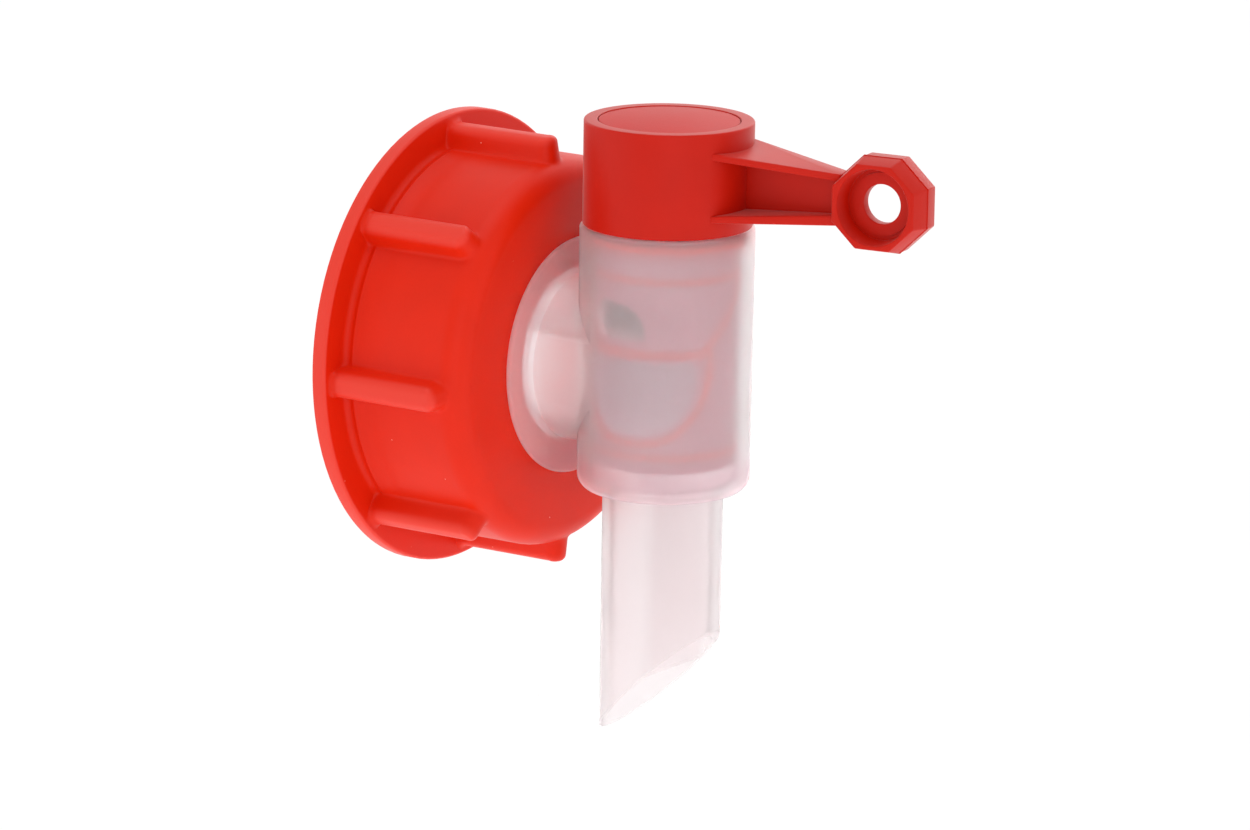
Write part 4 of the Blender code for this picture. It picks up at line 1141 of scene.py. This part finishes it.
def octagon(name, half, low, high, narrowing=1.0):
    """An eight sided block round Z, a little less high than wide."""
    to_corner = 1 / math.cos(math.pi / 8)
    bpy.ops.object.select_all(action="DESELECT")
    bpy.ops.mesh.primitive_cone_add(vertices=8, radius1=half * to_corner,
                                    radius2=half * to_corner * narrowing, depth=high - low,
                                    location=(0.0, 0.0, (low + high) / 2),
                                    rotation=(0.0, 0.0, math.pi / 8))
    obj = bpy.context.object
    obj.name = name
    settle_place(obj)
    obj.scale = (1.0, 0.96, 1.0)
    return settle_place(obj)


def eye_form(s):
    """Octagonal eye, drafted in front of the mould's parting edge."""
    front = s.eye_thickness / 2
    parting = 0.00287 - front
    half = s.eye_width / 2
    obj = octagon("eye", half, -front, parting)
    edit(obj, "FACE")
    leave_edit()
    top = max(obj.data.polygons, key=lambda face: face.center.z)
    top.select = True
    bpy.ops.object.mode_set(mode="EDIT")
    bpy.ops.mesh.extrude_region_move(TRANSFORM_OT_translate={"value": (0.0, 0.0, front - parting)})
    narrowing = (half - 0.00082) / half
    bpy.ops.transform.resize(value=(narrowing, narrowing, 1.0), center_override=(0.0, 0.0, front))
    leave_edit()
    recess_radius = 0.0062
    under = 0.00105 - front
    floor = under + 0.0020
    recess = cylinder("eye_recess", recess_radius - 0.0004, floor, front + 0.001,
                      top_radius=recess_radius + 0.0001)
    groove = cylinder("eye_groove", recess_radius - 0.0004, floor - 0.00022, floor + 0.0004)
    combine(groove, "DIFFERENCE", cylinder("eye_boss", recess_radius - 0.0010, floor - 0.001,
                                           floor + 0.001, top_radius=recess_radius - 0.0012))
    back = cylinder("eye_back_recess", recess_radius - 0.0004, -front - 0.001, under)
    hole = cylinder("eye_hole", 0.0032, under - 0.001, floor + 0.001)
    combine(obj, "DIFFERENCE", recess, back, hole)
    round_edges(obj, 0.00022, 3, 25.0)
    combine(obj, "DIFFERENCE", groove)
    seam = octagon("eye_parting", half + PARTING_STEP, parting - 0.00009, parting + 0.00009)
    combine(seam, "DIFFERENCE", cylinder("eye_bore", recess_radius + 0.0006, -front, front))
    combine(obj, "UNION", seam)
    return across_eye(obj, s)


def arm_bars(s):
    """Top flange, bottom flange and web of the lever's arm."""
    root, tip = 0.0078, 0.0018
    start = 0.01121
    end = s.eye_distance - s.eye_width / 2 + 0.00147
    top = bar("arm_top", (start, -root, root, 0.0139 - 0.0011, 0.0139),
              (end, -tip, tip, 0.0116 - 0.0012, 0.0116))
    low = bar("arm_low", (start, -root, root, 0.00265, 0.00265 + 0.0011),
              (end, -tip, tip, 0.0033, 0.0033 + 0.00165))
    web = bar("arm_web", (start + 0.0005, 0.0003, 0.0020, 0.0032, 0.0134),
              (end, 0.0003, 0.0020, 0.0038, 0.0111))
    for part in (top, low):
        round_edges(part, 0.0003, 3)
    return [place(part, (0.0, BARREL_Y, s.cap_foot), (0.0, 0.0, s.turn))
            for part in (top, low, web)]


class TAP_OT_lever(bpy.types.Operator):
    """Build the lever with its cap, hollow plug, arm and octagonal eye in one moulding"""
    bl_idname = "jerrycan_tap.lever"
    bl_label = "Lever And Plug"

    def execute(self, context):
        s = context.scene.tap_lever
        plug = stand_on_barrel_axis(solid_turned("lever_moulding", plug_rings(s), ROUND_STEPS))
        # The arm goes on the plain cap first: joined to the eye it leaves open edges.
        combine(plug, "UNION", *arm_bars(s))
        combine(plug, "UNION", *plug_walls(s))
        side = math.pi / 2 + PLUG_TURN
        combine(plug, "DIFFERENCE", port_way("plug_liquid_port", PLUG_LIQUID_PORT, side, 0.0151),
                port_way("plug_air_port", PLUG_AIR_PORT, side + AIR_PORT_TURN, 0.0151))
        combine(plug, "UNION", *seal_beads(s))
        combine(plug, "UNION", eye_form(s))
        notch = sector_block("stop_notch", s.plug_radius - s.plug_wall - 0.001,
                             s.plug_radius + 0.001,
                             STOP_AZIMUTH - STOP_WIDTH / 2 - math.radians(1.5),
                             math.radians(90.0) + STOP_WIDTH + math.radians(3.0),
                             s.plug_foot - 0.001, s.plug_foot + STOP_HEIGHT + GAP)
        combine(plug, "DIFFERENCE", notch)
        material = plastic_material("lever_red_fine", tuple(s.plastic), 0.40, grain=0.7, bump=0.4,
                                    specks=0.008, glow=0.10, gloss=0.18, sheen=0.30)
        # Painted haze and painted light on the plug.
        paint_plug_haze(material, s)
        weld_seams(plug)
        finish_piece(plug, "lever_plug", "lever", material)
        return {"FINISHED"}


class TAP_OT_top_disc(bpy.types.Operator):
    """Build the domed disc that closes the lever cap's recess"""
    bl_idname = "jerrycan_tap.top_disc"
    bl_label = "Top Disc"

    def execute(self, context):
        s = context.scene.tap_lever
        radius = DISC_HIGH.x + 0.00014
        crown = DISC_HIGH.z + 0.0003
        skirt_foot = DISC_LOW.z
        seat = skirt_foot + 0.0020
        rim = s.cap_top - 0.0001
        rise = crown - rim
        dome = radius - 0.00012
        sphere = (dome ** 2 + rise ** 2) / (2 * rise)
        half = math.degrees(math.asin(dome / sphere))
        rings = arc((0.0, crown - sphere), sphere, 90 - half * 0.02, 90 - half, 10)
        rings += arc((radius - 0.00012, rim - 0.00012), 0.00012, 80, 0, 3)
        rings += [(radius, seat), (0.01041, seat), (0.01041, skirt_foot), (0.00921, skirt_foot),
                  (0.00921, seat)]
        disc = stand_on_barrel_axis(solid_turned("lever_disc", rings, ROUND_STEPS))
        material = plastic_material("disc_red_fine", tuple(s.disc_plastic), 0.42, grain=0.9,
                                    bump=0.5, specks=0.015, glow=0.10, gloss=0.12)
        finish_piece(disc, "top_disc", "lever", material)
        return {"FINISHED"}


# ---- stage ---------------------------------------------------------------------------------

def white_seen_by_camera(tree, shader_output, strength=1.0):
    """A mask of the camera, glossy and transmission rays, which are the rays shown plain white."""
    path = tree.nodes.new("ShaderNodeLightPath")
    seen = math_node(tree, "MAXIMUM", path.outputs["Is Camera Ray"], path.outputs["Is Glossy Ray"])
    seen = math_node(tree, "MAXIMUM", seen, path.outputs["Is Transmission Ray"])
    return seen


def white_world(strength):
    world = bpy.data.worlds.new("pale_room")
    bpy.context.scene.world = world
    world.use_nodes = True
    tree = world.node_tree
    background = tree.nodes["Background"]
    background.inputs["Color"].default_value = (1.0, 1.0, 1.0, 1.0)
    background.inputs["Strength"].default_value = strength
    shown = tree.nodes.new("ShaderNodeBackground")
    shown.inputs["Color"].default_value = (1.0, 1.0, 1.0, 1.0)
    shown.inputs["Strength"].default_value = 1.0
    mix = tree.nodes.new("ShaderNodeMixShader")
    tree.links.new(white_seen_by_camera(tree, None), mix.inputs["Fac"])
    tree.links.new(background.outputs[0], mix.inputs[1])
    tree.links.new(shown.outputs[0], mix.inputs[2])
    tree.links.new(mix.outputs[0], tree.nodes["World Output"].inputs["Surface"])


def floor_material(base):
    """Pale floor that shows nearly white and keeps a faint shadow."""
    material = bpy.data.materials.new("pale_floor")
    material.use_nodes = True
    tree = material.node_tree
    shader = tree.nodes["Principled BSDF"]
    shader.inputs["Base Color"].default_value = (*base, 1.0)
    shader.inputs["Roughness"].default_value = 0.9
    shader.inputs["Specular IOR Level"].default_value = 0.0
    shader.inputs["Emission Color"].default_value = (1.0, 0.98, 0.98, 1.0)
    shader.inputs["Emission Strength"].default_value = 0.45
    glow = tree.nodes.new("ShaderNodeEmission")
    glow.inputs["Color"].default_value = (1.0, 1.0, 1.0, 1.0)
    glow.inputs["Strength"].default_value = 1.0
    mix = tree.nodes.new("ShaderNodeMixShader")
    seen = white_seen_by_camera(tree, None)
    tree.links.new(math_node(tree, "MULTIPLY", seen, 0.94), mix.inputs["Fac"])
    tree.links.new(shader.outputs[0], mix.inputs[1])
    tree.links.new(glow.outputs[0], mix.inputs[2])
    tree.links.new(mix.outputs[0], tree.nodes["Material Output"].inputs["Surface"])
    return material


def soft_light(name, spot, target, size, power):
    data = bpy.data.lights.new(name, "AREA")
    data.shape = "DISK"
    data.size = size
    data.energy = power
    light = bpy.data.objects.new(name, data)
    light.location = spot
    light.rotation_euler = (Vector(target) - Vector(spot)).to_track_quat("-Z", "Y").to_euler()
    bpy.context.scene.collection.objects.link(light)
    return light


def view_axes(azimuth, elevation, roll):
    """Right, up and back of a camera at an azimuth and elevation, in radians."""
    back = Vector((math.sin(azimuth) * math.cos(elevation),
                   -math.cos(azimuth) * math.cos(elevation), math.sin(elevation)))
    right = Vector((math.cos(azimuth), math.sin(azimuth), 0.0))
    up = back.cross(right)
    turned_right = math.cos(roll) * right + math.sin(roll) * up
    turned_up = -math.sin(roll) * right + math.cos(roll) * up
    return turned_right, turned_up, back


class TAP_OT_stage(bpy.types.Operator):
    """Set the pale floor, the soft light and the camera at the photograph's angle"""
    bl_idname = "jerrycan_tap.stage"
    bl_label = "Stage"

    def execute(self, context):
        s = context.scene.tap_stage
        bpy.ops.object.select_all(action="DESELECT")
        bpy.ops.mesh.primitive_plane_add(size=s.floor_size, location=(0.0, 0.0, s.floor_height))
        floor = context.object
        floor.name = "pale_floor"
        floor.data.materials.append(floor_material(tuple(s.floor_colour)))
        white_world(s.room_light)
        right, up, back = view_axes(math.radians(-56.39), math.radians(12.76),
                                    math.radians(1.04))
        centre = Vector((0.0, BARREL_Y, 0.0))
        soft_light("key_light", centre + back * 0.30 - right * 0.10 + up * 0.90, centre, 0.9,
                   s.key_power)
        soft_light("rim_light", centre - back * 0.62 + right * 0.38 + up * 0.62, centre, 0.8,
                   s.rim_power)
        soft_light("side_light", centre + back * 0.35 - right * 0.95 + up * 0.05, centre, 0.7,
                   s.side_power)
        soft_light("fill_light", centre + back * 0.45 + right * 0.9 + up * 0.25, centre, 0.8,
                   s.fill_power)
        soft_light("bounce_light", centre + back * 0.90 + right * 0.10 - up * 0.02, centre, 0.6,
                   s.bounce_power)
        data = bpy.data.cameras.new("camera")
        data.sensor_width = 36.0
        data.lens = 234.21
        data.shift_x = -0.0320
        data.shift_y = -0.0373
        camera = bpy.data.objects.new("camera", data)
        turn = Matrix((right, up, back)).transposed()
        camera.matrix_world = Matrix.Translation(centre + back * 1.3068) @ turn.to_4x4()
        context.scene.collection.objects.link(camera)
        context.scene.camera = camera
        context.scene.view_settings.view_transform = "Standard"
        return {"FINISHED"}


# ---- panel and run -------------------------------------------------------------------------

PIECES = (TAP_OT_screw_cap, TAP_OT_gasket, TAP_OT_tap_body, TAP_OT_lever, TAP_OT_top_disc,
          TAP_OT_stage)
SETTINGS = (("tap_cap", TapCapSettings), ("tap_body", TapBodySettings),
            ("tap_lever", TapLeverSettings), ("tap_stage", TapStageSettings))


class TAP_PT_panel(bpy.types.Panel):
    """Sizes, colours and build steps of the tap"""
    bl_label = "Jerrycan Tap"
    bl_idname = "TAP_PT_panel"
    bl_space_type = "VIEW_3D"
    bl_region_type = "UI"
    bl_category = "Jerrycan Tap"

    def draw(self, context):
        layout = self.layout
        for name, group in SETTINGS:
            box_layout = layout.box()
            box_layout.label(text=group.__doc__)
            for key in group.__annotations__:
                box_layout.prop(getattr(context.scene, name), key)
        for piece in PIECES:
            layout.operator(piece.bl_idname)


def register():
    for name, group in SETTINGS:
        bpy.utils.register_class(group)
        setattr(bpy.types.Scene, name, bpy.props.PointerProperty(type=group))
    for piece in PIECES:
        bpy.utils.register_class(piece)
    bpy.utils.register_class(TAP_PT_panel)


def unregister():
    bpy.utils.unregister_class(TAP_PT_panel)
    for piece in reversed(PIECES):
        bpy.utils.unregister_class(piece)
    for name, group in reversed(SETTINGS):
        delattr(bpy.types.Scene, name)
        bpy.utils.unregister_class(group)


def main():
    register()
    bpy.ops.jerrycan_tap.screw_cap()
    bpy.ops.jerrycan_tap.gasket()
    bpy.ops.jerrycan_tap.tap_body()
    bpy.ops.jerrycan_tap.lever()
    bpy.ops.jerrycan_tap.top_disc()
    bpy.ops.jerrycan_tap.stage()


if __name__ == "__main__":
    main()
